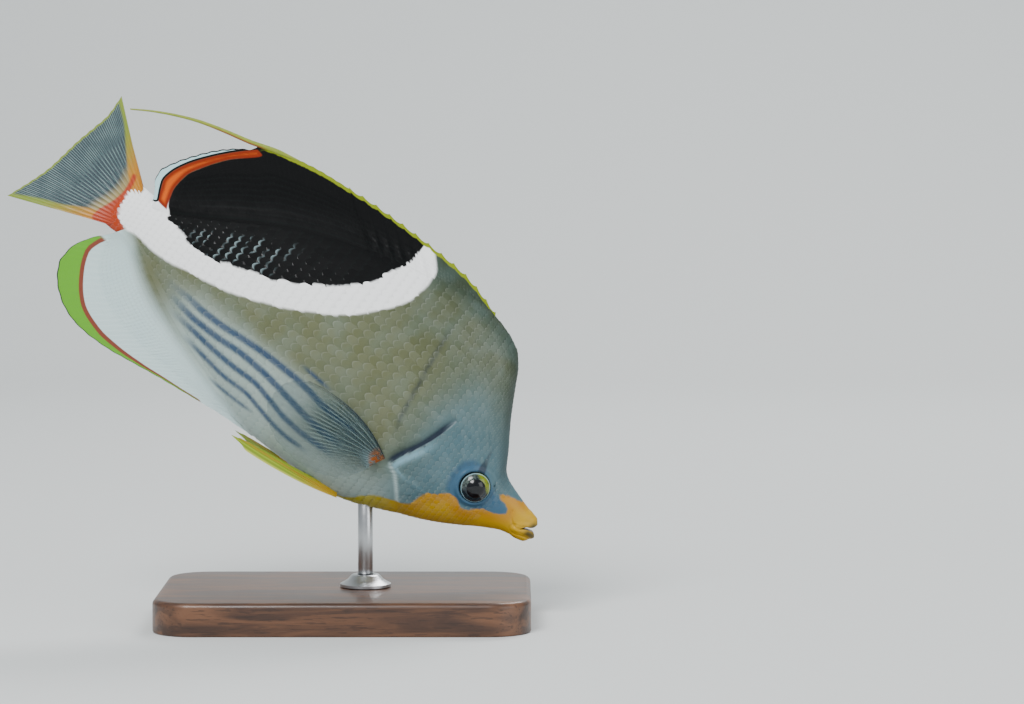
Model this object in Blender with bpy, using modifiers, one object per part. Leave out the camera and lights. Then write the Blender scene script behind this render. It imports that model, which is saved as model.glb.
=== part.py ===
"""A blackblotch butterflyfish, life size, swimming head down above a display base.

The fish is built in its own frame: x forward, y to its left, z towards its back, with the origin at the
snout tip. A place on it is told by its station, the distance behind the snout tip, and its level, the
height above the body axis. The sizes below are in millimetres, and mesh_object makes them metres.
"""

import math

import bmesh
import bpy
import numpy as np
from mathutils import Matrix, Vector

MM = 0.001
GAP = 0.32  # kept between pieces that touch
CUT_GAP = 0.4  # how far a cutter stands off the surface that it is copied from

# How the fish hangs over its stand.
NOSE_DOWN = math.radians(37.7)
SNOUT_X = 64.0
LOWEST_LEVEL = 6.9  # how far the lower lip reaches below the snout tip, in the pose
LIP_ABOVE_BASE = 15.0

# Stand.
BASE_LENGTH, BASE_WIDTH, BASE_HEIGHT = 124.0, 82.0, 11.0
BASE_CORNER = 14.0
BASE_EDGE = 1.8
ROD_RADIUS = 2.5
ROD_STATION = 48.5  # where the rod enters the breast, ahead of the pelvic fins
ROD_SUNK = 6.0
COLLAR_RADIUS, COLLAR_HEIGHT = 8.5, 4.0

# Body outline and breadth by station.
BACK = [(4.5, 1.8), (8, 2.8), (12, 4.2), (16, 5.8), (18.2, 7.4), (22, 13.3), (28, 22.4), (33, 31.2),
        (36.5, 37.4), (41, 42.2), (50, 45.7), (60, 47.3), (75, 47.0), (90, 44.6), (105, 40.3), (120, 34.0),
        (135, 25.6), (150, 16.2), (160, 10.9), (168, 8.7), (176, 9.1)]
BELLY = [(4.5, -8.8), (8, -9.7), (12, -11.9), (20, -17.0), (28, -21.6), (36, -25.2), (44, -28.9),
         (52, -32.4), (60, -34.6), (72, -35.3), (86, -35.5), (100, -35.0), (110, -33.0), (120, -29.8),
         (135, -23.6), (150, -16.4), (160, -11.6), (168, -9.3), (176, -9.2)]
BREADTH = [(4.5, 3.7), (10, 4.8), (16, 6.7), (22, 8.7), (28, 10.3), (36, 12.1), (46, 13.7), (58, 14.8),
           (72, 15.2), (90, 14.2), (110, 11.6), (130, 8.4), (150, 5.2), (165, 3.2), (172, 2.4), (176, 1.7)]
WIDEST_LEVEL = [(4.5, -3.8), (16, -4.6), (24, -3.6), (36, -1.0), (50, 2.0), (72, 4.0), (100, 4.0),
                (130, 1.5), (150, 0.3), (176, -0.2)]
BACK_SHARPNESS = [(4.5, 0.95), (24, 1.05), (40, 1.2), (70, 1.35), (130, 1.25), (176, 1.0)]
BELLY_SHARPNESS = [(4.5, 0.95), (30, 1.1), (60, 1.05), (100, 1.2), (176, 1.0)]
BODY_START, HEAD_END, BODY_END = 4.6, 52.0, 175.5
HEAD_SECTIONS, TRUNK_SECTIONS = 19, 27
BODY_STEPS = 13  # faces from belly to back on each side
JAW_STEPS = 7

# Where the body is parted: the gill opening, and the start of the tail stalk.
GILL_EDGE = [(45, 36.0), (30, 39.5), (12, 43.5), (-1, 47.4), (-9, 50.6), (-12.5, 51.4), (-15, 50.2),
             (-18, 47.0), (-21.5, 42.8), (-28, 39.2), (-36, 37.4)]
STALK_START = 157.0

# Gill cover, as station and level round its plate.
GILL_COVER = [(36.2, 9.5), (40.2, 11.2), (43.0, 10.2), (45.1, 5.5), (47.3, -1), (50.0, -8.6), (50.9, -12.3),
              (49.8, -14.8), (46.8, -17.7), (42.9, -20.8), (38.6, -19.4), (35.4, -14.0), (34.3, -5.0),
              (34.8, 3.0)]
GILL_COVER_PROUD = 0.6
GILL_COVER_DEPTH = 2.6

# Eye.
EYE_STATION, EYE_LEVEL = 24.2, -2.7
EYE_RADIUS, EYE_DEPTH = 5.6, 4.3
EYE_SUNK = 2.2
EYE_RIM = 0.6
NOSTRILS = [(17.2, 0.5, 0.55), (19.0, 1.4, 0.45)]  # station, level, radius
NOSTRIL_DEPTH = 1.1

# Jaws: edges and half breadth by station.
UPPER_JAW_TIP, UPPER_JAW_END = -0.7, 9.0
UPPER_JAW_TOP = [(-0.7, 0.2), (0.6, 1.1), (4, 1.65), (9, 3.0)]
UPPER_JAW_UNDER = [(-0.7, -1.6), (0.4, -2.5), (2.5, -3.5), (5, -5.2), (9, -5.8)]
UPPER_JAW_BREADTH = [(-0.7, 2.1), (2, 2.9), (5, 3.8), (9, 4.4)]
LOWER_JAW_TIP, LOWER_JAW_END = -2.3, 7.6
LOWER_JAW_TOP = [(-2.3, -4.0), (-1.0, -3.5), (2, -4.5), (4.7, -6.0), (7.6, -6.6)]
LOWER_JAW_UNDER = [(-2.3, -5.8), (-1.6, -6.6), (0, -8.1), (3, -8.9), (7.6, -9.8)]
LOWER_JAW_BREADTH = [(-2.3, 1.9), (0, 2.5), (4, 3.4), (7.6, 3.7)]
JAW_NOSE = 2.2
LIP_RADIUS = 0.72
UPPER_LIP = [(4.4, -4.5, 3.5), (2.4, -3.1, 3.1), (0.7, -2.1, 2.3), (-0.1, -1.7, 1.2), (-0.3, -1.6, 0.0)]
LOWER_LIP = [(4.6, -6.4, 3.5), (2.0, -5.3, 3.1), (-0.3, -4.6, 2.3), (-1.4, -4.5, 1.2), (-1.7, -4.5, 0.0)]

# Fins. An edge is station and level; counts are of the bony rays.
FIN_ROOT_DEPTH = 3.0
SPINES = 13
SPINE_ROOTS = (52.0, 97.6)
SPINE_EDGE = [(59, 48.5), (64, 49.8), (72, 50.8), (82, 51.1), (95, 51.0), (106, 50.6), (116.6, 50.0)]
SPINE_STANDS_PROUD = 0.7
SOFT_RAYS = 22
SOFT_ROOTS = (98.2, 165.0)
SOFT_EDGE = [(117.2, 50.0), (128, 48.9), (139, 46.7), (149.5, 43.4), (150.6, 41.0), (155, 37.8),
             (160, 33.2), (165, 27.0), (169, 20.8), (170.9, 16.2), (170.3, 13.0), (168.4, 10.6)]
FILAMENT = [(136, 47.1), (145, 44.7), (152.8, 42.1), (161, 40.0), (170, 37.3), (178, 33.9), (185, 30.2),
            (191, 26.4)]
FILAMENT_RADIUS, FILAMENT_TIP_RADIUS = 0.8, 0.28
FILAMENT_PARTING = 2  # index of the point where the filament leaves the fin
ANAL_SPINES, ANAL_SOFT_RAYS = 3, 20
ANAL_ROOTS = (104.0, 167.0)
ANAL_EDGE = [(110, -36.2), (120, -37.6), (130, -38.8), (140, -40.4), (150, -41.7), (156, -41.9),
             (162, -41.4), (168, -39.6), (173.4, -36.2), (177.2, -32.0), (179.3, -27.0), (178.9, -22.0),
             (176.8, -17.6), (174.3, -14.0), (171.6, -11.4)]
TAIL_RAYS = 17
TAIL_ROOTS = [(172.6, 8.7), (174.6, 4.5), (175.2, 0.0), (175.2, -4.5), (174.4, -8.6)]
TAIL_EDGE = [(196, 28.0), (195.7, 21.0), (197, 14.0), (198.6, 7.0), (199.6, 0.5), (200.6, -5.5),
             (202.4, -11.5), (204.4, -17.0), (206.2, -21.7)]
TAIL_SWAY = 3.0  # how far the tail fin's end bends towards the fish's left
PECTORAL_RAYS = 15
PECTORAL_ROOT = (54.6, -14.9)
PECTORAL_ROOT_SPREAD = 2.4
PECTORAL_REACH = [(-62, 12.5), (-50, 19), (-35, 28), (-20, 37), (-8, 41.5), (2, 41), (10, 36)]
PECTORAL_FLARE = 7.0
PECTORAL_PAD = (3.4, 2.2, 2.6)
PELVIC_ROOT = (58.6, -33.2, 4.2)
PELVIC_TIPS = [(91.5, -39.5, 8.8), (98.6, -38.3, 8.2), (95.6, -37.5, 7.2), (92.4, -36.9, 6.2),
               (88.8, -36.4, 5.3), (83.5, -36.2, 4.6)]
PELVIC_PAD = (3.6, 1.9, 1.9)
RAY_HALF, WEB_HALF, EDGE_HALF = 0.62, 0.36, 0.27  # half thickness at the root, between rays, at the edge
SPINE_HALF, TAIL_RAY_HALF = 0.82, 0.75
PAIRED_RAY_HALF, PAIRED_WEB_HALF = 0.52, 0.32


def smooth(table):
    """A function through the table's points that never overshoots between them (monotone cubic)."""
    x, y = np.array(table, float).T
    step, rise = np.diff(x), np.diff(y) / np.diff(x)
    slope = np.empty_like(x)
    slope[0], slope[-1] = rise[0], rise[-1]
    same_way = rise[1:] * rise[:-1] > 0
    total = np.where(same_way, rise[1:] + rise[:-1], 1.0)
    slope[1:-1] = np.where(same_way, 2 * rise[1:] * rise[:-1] / total, 0.0)

    def at(value):
        value = np.clip(value, x[0], x[-1])
        i = np.clip(np.searchsorted(x, value) - 1, 0, len(x) - 2)
        t = (value - x[i]) / step[i]
        return (
            y[i] * (2 * t**3 - 3 * t**2 + 1)
            + slope[i] * step[i] * (t**3 - 2 * t**2 + t)
            + y[i + 1] * (3 * t**2 - 2 * t**3)
            + slope[i + 1] * step[i] * (t**3 - t**2)
        )

    return at


def along(points, shares):
    """Points at these shares of the length of a smooth line through the given points."""
    points = np.array(points, float)
    run = np.concatenate([[0], np.cumsum(np.linalg.norm(np.diff(points, axis=0), axis=1))])
    run /= run[-1]
    return np.stack([smooth(np.stack([run, column], 1))(shares) for column in points.T], -1)


back, belly, breadth = smooth(BACK), smooth(BELLY), smooth(BREADTH)
widest_level = smooth(WIDEST_LEVEL)
back_sharpness, belly_sharpness = smooth(BACK_SHARPNESS), smooth(BELLY_SHARPNESS)


def half_width(station, level):
    """How far the flank is from the middle plane at a station and level."""
    middle = widest_level(station)
    above = level > middle
    reach = np.where(above, back(station) - middle, middle - belly(station))
    share = np.clip(abs(level - middle) / reach, 0, 1)
    sharpness = np.where(above, back_sharpness(station), belly_sharpness(station))
    return breadth(station) * (1 - share**2) ** (sharpness / 2)


def fish_point(station, level, side):
    return (-station, side, level)


def move_to_collection(obj, collection):
    for other in list(obj.users_collection):
        other.objects.unlink(obj)
    collection.objects.link(obj)


def mesh_object(name, points, faces):
    """A mesh object from points in millimetres, with its faces turned outwards."""
    mesh = bpy.data.meshes.new(name)
    mesh.from_pydata((np.array(points, float) * MM).tolist(), [], [list(map(int, f)) for f in faces])
    bm = bmesh.new()
    bm.from_mesh(mesh)
    bmesh.ops.recalc_face_normals(bm, faces=bm.faces)
    bm.to_mesh(mesh)
    bm.free()
    obj = bpy.data.objects.new(name, mesh)
    WORK.objects.link(obj)
    return obj


def tube_faces(rings, around):
    """Triangles over a grid of rings, whose ends are closed by strips from one side to the other."""
    faces = []
    for i in range(rings - 1):
        for j in range(around):
            k = (j + 1) % around
            a, b, c, d = i * around + j, i * around + k, (i + 1) * around + k, (i + 1) * around + j
            faces += [(a, b, c), (a, c, d)] if j < around // 2 else [(a, b, d), (b, c, d)]
    half = around // 2
    for start in (0, (rings - 1) * around):
        for j in range(half):
            low, high = start + j, start + j + 1
            across_low, across_high = start + (around - j) % around, start + around - j - 1
            if j > 0:
                faces.append((low, high, across_low))
            if j < half - 1:
                faces.append((high, across_high, across_low))
    return faces


def section_loft(name, steps, stations, top, under, width, middle, top_power, under_power):
    """A closed body of upright sections: each runs from its under edge up the left side and down the right."""
    angles = np.linspace(-math.pi / 2, math.pi / 2, steps + 1)
    sine, cosine = np.sin(angles), np.clip(np.cos(angles), 0, 1)
    rings = []
    for i, station in enumerate(stations):
        reach = np.where(sine > 0, top[i] - middle[i], middle[i] - under[i])
        power = np.where(sine > 0, top_power[i], under_power[i])
        level = middle[i] + reach * sine
        side = width[i] * cosine**power
        side[0] = side[-1] = 0.0
        left = np.stack([np.full_like(level, -station), side, level], 1)
        right = left[-2:0:-1] * (1, -1, 1)
        rings.append(np.vstack([left, right]))
    return mesh_object(name, np.vstack(rings), tube_faces(len(stations), 2 * steps))


def body_shell(name, swell=0.0):
    """The whole fleshy body from mouth to tail base, or one that stands off it by swell."""
    head = np.linspace(BODY_START, HEAD_END, HEAD_SECTIONS)
    trunk = np.linspace(HEAD_END, BODY_END, TRUNK_SECTIONS)[1:]
    stations = np.concatenate([head, trunk])
    placed = stations.copy()
    placed[0] -= swell
    placed[-1] += swell
    return section_loft(
        name, BODY_STEPS, placed, back(stations) + swell, belly(stations) - swell, breadth(stations) + swell,
        widest_level(stations), back_sharpness(stations), belly_sharpness(stations),
    )


def jaw_lobe(name, tip, end, top, under, width, swell=0.0):
    """One jaw: rounded at its front over JAW_NOSE, and as deep and broad as its edges say behind that."""
    share = np.array([0.0, 0.04, 0.15, 0.34, 0.6, 1.0])
    stations = np.concatenate([tip + JAW_NOSE * share, np.linspace(tip + JAW_NOSE, end, 6)[1:]])
    fullness = np.sqrt(1 - (1 - np.clip((stations - tip) / JAW_NOSE, 0, 1)) ** 2) * 0.94 + 0.06
    upper, lower = smooth(top)(stations), smooth(under)(stations)
    middle, reach = (upper + lower) / 2, (upper - lower) / 2 * fullness + swell
    stations[0] -= swell
    stations[-1] += swell
    one = np.ones_like(stations)
    return section_loft(
        name, JAW_STEPS, stations, middle + reach, middle - reach, smooth(width)(stations) * fullness + swell,
        middle, 0.8 * one, 0.8 * one,
    )


def prism(name, outline, low_side, high_side):
    """A plate with this outline of stations and levels, from one side distance to another."""
    count = len(outline)
    points = [fish_point(s, z, y) for y in (low_side, high_side) for s, z in outline]
    faces = [list(range(count)), list(range(count, 2 * count))]
    faces += [(i, (i + 1) % count, count + (i + 1) % count, count + i) for i in range(count)]
    obj = mesh_object(name, points, faces)
    bm = bmesh.new()
    bm.from_mesh(obj.data)
    bmesh.ops.triangulate(bm, faces=bm.faces)
    bm.to_mesh(obj.data)
    bm.free()
    return obj


def tube(name, points, radii, sides=2):
    """A round tube through points, as a closed mesh."""
    curve = bpy.data.curves.new(name, "CURVE")
    curve.dimensions = "3D"
    curve.bevel_depth = MM
    curve.bevel_resolution = sides
    curve.use_fill_caps = True
    spline = curve.splines.new("POLY")
    spline.points.add(len(points) - 1)
    for target, point, radius in zip(spline.points, points, radii):
        target.co = (*(Vector(point) * MM), 1.0)
        target.radius = radius
    guide = bpy.data.objects.new(name + "_guide", curve)
    WORK.objects.link(guide)
    bpy.context.view_layer.update()
    mesh = bpy.data.meshes.new_from_object(guide.evaluated_get(bpy.context.evaluated_depsgraph_get()))
    bm = bmesh.new()
    bm.from_mesh(mesh)
    bmesh.ops.remove_doubles(bm, verts=bm.verts, dist=0.01 * MM)
    bmesh.ops.triangulate(bm, faces=bm.faces)
    bmesh.ops.recalc_face_normals(bm, faces=bm.faces)
    bm.to_mesh(mesh)
    bm.free()
    obj = bpy.data.objects.new(name, mesh)
    WORK.objects.link(obj)
    bpy.data.objects.remove(guide)
    return obj


def ellipsoid(name, centre, radii, segments, rings):
    """An ellipsoid whose poles face the fish's sides."""
    bm = bmesh.new()
    bmesh.ops.create_uvsphere(bm, u_segments=segments, v_segments=rings, radius=1.0)
    bmesh.ops.triangulate(bm, faces=bm.faces)
    bm.transform(Matrix.Rotation(math.pi / 2, 4, "X"))
    bm.transform(Matrix.Diagonal((*[r * MM for r in radii], 1.0)))
    bm.transform(Matrix.Translation(Vector(centre) * MM))
    mesh = bpy.data.meshes.new(name)
    bm.to_mesh(mesh)
    bm.free()
    obj = bpy.data.objects.new(name, mesh)
    WORK.objects.link(obj)
    return obj


def combine(obj, others, operation):
    """Applies one Boolean of obj with all the others, and removes the others.

    The exact solver sometimes returns nothing for a thin blade, and then the manifold one does the work.
    """
    operands = bpy.data.collections.new("operands")
    bpy.context.scene.collection.children.link(operands)
    for other in others:
        move_to_collection(other, operands)
    modifier = obj.modifiers.new("combine", "BOOLEAN")
    modifier.operation = operation
    modifier.operand_type = "COLLECTION"
    modifier.collection = operands
    for solver in ("EXACT", "MANIFOLD"):
        modifier.solver = solver
        bpy.context.view_layer.update()
        evaluated = obj.evaluated_get(bpy.context.evaluated_depsgraph_get())
        mesh = bpy.data.meshes.new_from_object(evaluated)
        if mesh.polygons:
            break
    obj.modifiers.clear()
    obj.data = mesh
    for other in others:
        bpy.data.objects.remove(other)
    bpy.data.collections.remove(operands)
    keep_largest(obj)
    return obj


def keep_largest(obj):
    """Keeps the largest closed surface of a mesh, as triangles, and drops loose scraps."""
    bm = bmesh.new()
    bm.from_mesh(obj.data)
    bmesh.ops.remove_doubles(bm, verts=bm.verts, dist=0.002 * MM)
    bmesh.ops.triangulate(bm, faces=bm.faces)
    unseen, shells = set(bm.faces), []
    while unseen:
        frontier, shell = [unseen.pop()], []
        while frontier:
            face = frontier.pop()
            shell.append(face)
            for edge in face.edges:
                for near in edge.link_faces:
                    if near in unseen:
                        unseen.remove(near)
                        frontier.append(near)
        shells.append(shell)
    shells.sort(key=lambda shell: sum(face.calc_area() for face in shell))
    scraps = [face for shell in shells[:-1] for face in shell]
    bmesh.ops.delete(bm, geom=scraps, context="FACES")
    bm.to_mesh(obj.data)
    bm.free()


def mirrored(obj, name):
    """The same piece on the other side of the middle plane."""
    copy = bpy.data.objects.new(name, obj.data.copy())
    WORK.objects.link(copy)
    copy.data.transform(Matrix.Diagonal((1, -1, 1, 1)))
    copy.data.flip_normals()
    return copy


def flat_place(point, share):
    """In the middle plane, whatever the share along the ray."""
    return fish_point(point[0], point[1], 0.0)


def fin_blade(name, roots, tips, is_ray, rows, place=flat_place, bow=0.0, ray_half=RAY_HALF,
              web_half=WEB_HALF, edge_half=EDGE_HALF):
    """A fin with its rays raised in its own surface.

    Each column runs from a root to a tip, bowed sideways by bow at its middle, and is a ray or the web between two.
    place(station, level, share along the column) gives the blade's middle point in fish coordinates.
    """
    columns = len(roots)
    share = np.linspace(0, 1, rows + 1)
    roots, tips = np.array(roots, float), np.array(tips, float)
    line = roots[:, None] + (tips - roots)[:, None] * share[None, :, None]
    across = np.stack([-(tips - roots)[:, 1], (tips - roots)[:, 0]], 1)
    across /= np.linalg.norm(across, axis=1)[:, None]
    bows = np.broadcast_to(bow, columns)
    line[..., :2] += (across * bows[:, None])[:, None] * (4 * share * (1 - share))[None, :, None]
    root_half = np.where(is_ray, ray_half, web_half)
    half = root_half[:, None] * (1 - share) + edge_half * share
    points = []
    for sign in (1, -1):
        for i in range(columns):
            for j in range(rows + 1):
                x, y, z = place(line[i, j], share[j])
                points.append((x, y + sign * half[i, j], z))
    faces, side = [], columns * (rows + 1)
    for i in range(columns - 1):
        for j in range(rows):
            a, b = i * (rows + 1) + j, (i + 1) * (rows + 1) + j
            faces += [(a, b, b + 1), (a, b + 1, a + 1)]
            faces += [(a + side, b + 1 + side, b + side), (a + side, a + 1 + side, b + 1 + side)]
    for i in range(columns - 1):
        for j in (0, rows):
            a, b = i * (rows + 1) + j, (i + 1) * (rows + 1) + j
            faces += [(a, b, b + side), (a, b + side, a + side)]
    for i in (0, columns - 1):
        for j in range(rows):
            a = i * (rows + 1) + j
            faces += [(a, a + 1, a + 1 + side), (a, a + 1 + side, a + side)]
    return mesh_object(name, points, faces)


def ray_flags(columns):
    return np.arange(columns) % 2 == 0


def back_roots(stations):
    return np.stack([stations, back(stations) - FIN_ROOT_DEPTH], 1)


def belly_roots(stations):
    return np.stack([stations, belly(stations) + FIN_ROOT_DEPTH], 1)


def make_spiny_dorsal():
    """Thirteen spines laid back, their points just proud of the web between them."""
    columns = 2 * SPINES - 1
    share = np.linspace(0, 1, columns)
    rays = ray_flags(columns)
    roots = back_roots(SPINE_ROOTS[0] + (SPINE_ROOTS[1] - SPINE_ROOTS[0]) * share)
    tips = along(SPINE_EDGE, share)
    out = tips - roots
    out /= np.linalg.norm(out, axis=1)[:, None]
    tips += out * np.where(rays, SPINE_STANDS_PROUD, -0.5)[:, None]
    return fin_blade("dorsal_fin_spiny", roots, tips, rays, rows=5, ray_half=SPINE_HALF)


def filament_radius(points):
    run = np.linspace(1, 0, len(points))
    return FILAMENT_TIP_RADIUS + (FILAMENT_RADIUS - FILAMENT_TIP_RADIUS) * run


def filament_path():
    """The points of the trailing filament, and the index where it parts from the fin."""
    steps = 4
    shares = np.linspace(0, 1, (len(FILAMENT) - 1) * steps + 1)
    return along(FILAMENT, shares), FILAMENT_PARTING * steps


def make_soft_dorsal():
    """The soft rays fan out behind the spines; the stub of the filament is fused to the upper corner."""
    columns = 2 * SOFT_RAYS - 1
    share = np.linspace(0, 1, columns)
    roots = back_roots(SOFT_ROOTS[0] + (SOFT_ROOTS[1] - SOFT_ROOTS[0]) * share)
    fin = fin_blade("dorsal_fin_soft", roots, along(SOFT_EDGE, share), ray_flags(columns), rows=5)
    path, parting = filament_path()
    radii = filament_radius(path)
    points = [fish_point(s, z, 0.0) for s, z in path[: parting + 1]]
    stub = tube("filament_stub", points, radii[: parting + 1])
    return combine(fin, [stub], "UNION")


def make_filament():
    """The long free ray that trails from the upper corner of the soft dorsal fin."""
    path, parting = filament_path()
    radii = filament_radius(path)
    free = path[parting:].copy()
    heading = free[1] - free[0]
    free[0] += heading / np.linalg.norm(heading) * GAP
    points = [fish_point(s, z, 0.0) for s, z in free]
    return tube("dorsal_filament", points, radii[parting:])


def make_anal_fin():
    columns = 2 * (ANAL_SPINES + ANAL_SOFT_RAYS) - 1
    share = np.linspace(0, 1, columns)
    stations = ANAL_ROOTS[0] + (ANAL_ROOTS[1] - ANAL_ROOTS[0]) * share
    tips = along(ANAL_EDGE, share**0.92)
    thick = np.where(share * (columns - 1) / 2 < ANAL_SPINES, SPINE_HALF, RAY_HALF)
    return fin_blade("anal_fin", belly_roots(stations), tips, ray_flags(columns), rows=5, ray_half=thick)


def make_tail_fin():
    columns = 2 * TAIL_RAYS - 1
    share = np.linspace(0, 1, columns)

    def place(point, run):
        return fish_point(point[0], point[1], TAIL_SWAY * run**2)

    return fin_blade("tail_fin", along(TAIL_ROOTS, share), along(TAIL_EDGE, share), ray_flags(columns),
                     rows=6, place=place, ray_half=TAIL_RAY_HALF)


def pectoral_fan(columns):
    """Roots and tips of the pectoral fin's columns, from its lowest ray to its upper edge."""
    angles = np.radians(np.linspace(PECTORAL_REACH[0][0], PECTORAL_REACH[-1][0], columns))
    reach = smooth(PECTORAL_REACH)(np.degrees(angles))
    heading = np.stack([np.cos(angles), np.sin(angles)], 1)
    centre = np.array(PECTORAL_ROOT)
    spread = np.linspace(-1, 1, columns)[:, None] * np.array([[-0.45, 0.9]]) * PECTORAL_ROOT_SPREAD
    return centre + spread, centre + heading * reach[:, None]


def make_pectoral_fin():
    """The left pectoral fin, laid back along the flank and flared a little away from it."""
    columns = 2 * PECTORAL_RAYS - 1
    roots, tips = pectoral_fan(columns)
    longest = max(r for _, r in PECTORAL_REACH)
    root_side = half_width(*PECTORAL_ROOT)

    def place(point, run):
        flank = max(half_width(point[0], point[1]), root_side)
        away = np.hypot(point[0] - PECTORAL_ROOT[0], point[1] - PECTORAL_ROOT[1]) / longest
        return fish_point(point[0], point[1], flank + 0.95 + PECTORAL_FLARE * away**1.2)

    bow = np.linspace(-0.6, 2.6, columns)
    fin = fin_blade("pectoral_fin_left", roots, tips, ray_flags(columns), rows=5, place=place, bow=bow,
                    ray_half=PAIRED_RAY_HALF, web_half=PAIRED_WEB_HALF)
    pad = ellipsoid("pad", fish_point(PECTORAL_ROOT[0] + 0.4, PECTORAL_ROOT[1], root_side - 0.4),
                    PECTORAL_PAD, 14, 8)
    return combine(fin, [pad], "UNION")


def make_pelvic_fin():
    """The left pelvic fin, folded back under the belly: a spine and five rays in a narrow leaf."""
    columns = 2 * len(PELVIC_TIPS) - 1
    share = np.linspace(0, 1, columns)
    every = np.linspace(0, 1, len(PELVIC_TIPS))
    tips = np.stack([np.interp(share, every, column) for column in np.array(PELVIC_TIPS).T], 1)
    tips[1::2, 0] -= 1.0
    roots = np.array(PELVIC_ROOT) + np.linspace(-1, 1, columns)[:, None] * np.array([[0.5, 0.75, -0.7]])

    def place(point, run):
        return fish_point(*point)

    bow = np.linspace(-1.0, 0.4, columns)
    fin = fin_blade("pelvic_fin_left", roots, tips, ray_flags(columns), rows=6, place=place, bow=bow,
                    ray_half=PAIRED_RAY_HALF, web_half=PAIRED_WEB_HALF)
    pad = ellipsoid("pad", fish_point(PELVIC_ROOT[0] - 0.8, PELVIC_ROOT[1] + 0.2, PELVIC_ROOT[2] - 0.3),
                    PELVIC_PAD, 12, 6)
    return combine(fin, [pad], "UNION")


def lip(name, half_path, swell=0.0):
    """A lip round the front of a jaw, from corner to corner of the mouth."""
    left = along(half_path, np.linspace(0, 1, 9))
    right = left[-2::-1] * (1, 1, -1)
    points = [fish_point(s, z, y) for s, z, y in np.vstack([left, right])]
    ends = np.minimum(np.arange(len(points)), np.arange(len(points))[::-1])
    radii = LIP_RADIUS * np.clip(0.7 + 0.1 * ends, 0.7, 1.0) + swell
    return tube(name, points, radii)


def lower_jaw(name, swell=0.0):
    lobe = jaw_lobe(name, LOWER_JAW_TIP, LOWER_JAW_END, LOWER_JAW_TOP, LOWER_JAW_UNDER, LOWER_JAW_BREADTH,
                    swell)
    return combine(lobe, [lip("lower_lip", LOWER_LIP, swell)], "UNION")


def eye_centre():
    return fish_point(EYE_STATION, EYE_LEVEL, half_width(EYE_STATION, EYE_LEVEL) - EYE_SUNK)


def make_eye(name, swell=0.0):
    radii = (EYE_RADIUS + swell, EYE_DEPTH + swell, EYE_RADIUS + swell)
    return ellipsoid(name, eye_centre(), radii, 20, 10)


def eye_rim():
    """The raised ring of skin round the eye, following the curve of the head."""
    angles = np.linspace(0, 2 * math.pi, 25)
    points = []
    for angle in angles:
        station = EYE_STATION + (EYE_RADIUS - 0.25) * math.cos(angle)
        level = EYE_LEVEL + (EYE_RADIUS - 0.25) * math.sin(angle)
        points.append((-station, half_width(station, level) - 0.1, level))
    return tube("eye_rim", points, [EYE_RIM] * len(points), 1)


def nostril(station, level, radius):
    side = half_width(station, level)
    return ellipsoid("nostril", fish_point(station, level, side), (radius, NOSTRIL_DEPTH, radius), 10, 6)


def gill_outline(grow=0.0):
    """The gill cover's edge as a closed smooth line, moved outwards by grow."""
    points = np.array(GILL_COVER + GILL_COVER[:1], float)
    line = along(points, np.linspace(0, 1, 27))[:-1]
    forward, backward = np.roll(line, -1, axis=0), np.roll(line, 1, axis=0)
    heading = forward - backward
    heading /= np.linalg.norm(heading, axis=1)[:, None]
    outward = np.stack([-heading[:, 1], heading[:, 0]], 1)
    centre = line.mean(0)
    outward *= np.sign((outward * (line - centre)).sum(1))[:, None]
    return line + outward * grow


def make_gill_cover():
    """The left gill cover: a plate as thick as GILL_COVER_DEPTH, a little proud of the head."""
    plate = prism("gill_cover_left", gill_outline(), 2.0, 20.0)
    outer = body_shell("outer", GILL_COVER_PROUD)
    inner = body_shell("inner", -GILL_COVER_DEPTH)
    combine(plate, [outer], "INTERSECT")
    return combine(plate, [inner], "DIFFERENCE")


def gill_pocket():
    """What is taken out of head and trunk for the left gill cover, a gap larger than the plate."""
    pocket = prism("gill_pocket", gill_outline(GAP), 2.0, 24.0)
    return combine(pocket, [body_shell("inner", -GILL_COVER_DEPTH - GAP)], "DIFFERENCE")


def front_block(shift):
    """Everything ahead of the gill opening, moved back by shift."""
    levels = np.linspace(GILL_EDGE[0][0], GILL_EDGE[-1][0], 27)
    edge = smooth([(z, s) for z, s in reversed(GILL_EDGE)])(levels) + shift
    outline = [(s, z) for s, z in zip(edge, levels)]
    outline = [(-12.0, 60.0), (edge[0], 60.0)] + outline + [(edge[-1], -50.0), (-12.0, -50.0)]
    return prism("front_block", outline, -30.0, 30.0)


def rear_block(start):
    return prism("rear_block", [(start, 60.0), (230.0, 60.0), (230.0, -60.0), (start, -60.0)], -30.0, 30.0)


def make_head():
    """Head with the upper jaw, open for the lower jaw, eyes, nostrils and gill covers."""
    head = combine(body_shell("head"), [front_block(-GAP / 2)], "INTERSECT")
    rims = [eye_rim()]
    rims.append(mirrored(rims[0], "eye_rim_right"))
    upper = jaw_lobe("upper_jaw", UPPER_JAW_TIP, UPPER_JAW_END, UPPER_JAW_TOP, UPPER_JAW_UNDER,
                     UPPER_JAW_BREADTH)
    combine(head, [upper, lip("upper_lip", UPPER_LIP), *rims], "UNION")
    sockets = [make_eye("socket", GAP), gill_pocket(), *[nostril(*n) for n in NOSTRILS]]
    sockets += [mirrored(s, s.name + "_right") for s in sockets]
    combine(head, sockets, "DIFFERENCE")
    return combine(head, [lower_jaw("jaw_room", GAP)], "DIFFERENCE")


def make_trunk(rod_cutter):
    trunk = body_shell("trunk")
    pockets = [gill_pocket()]
    pockets.append(mirrored(pockets[0], "pocket_right"))
    cutters = [front_block(GAP / 2), rear_block(STALK_START - GAP / 2), rod_cutter, *pockets]
    return combine(trunk, cutters, "DIFFERENCE")


def make_tail_stalk():
    return combine(body_shell("tail_stalk"), [rear_block(STALK_START + GAP / 2)], "INTERSECT")


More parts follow.
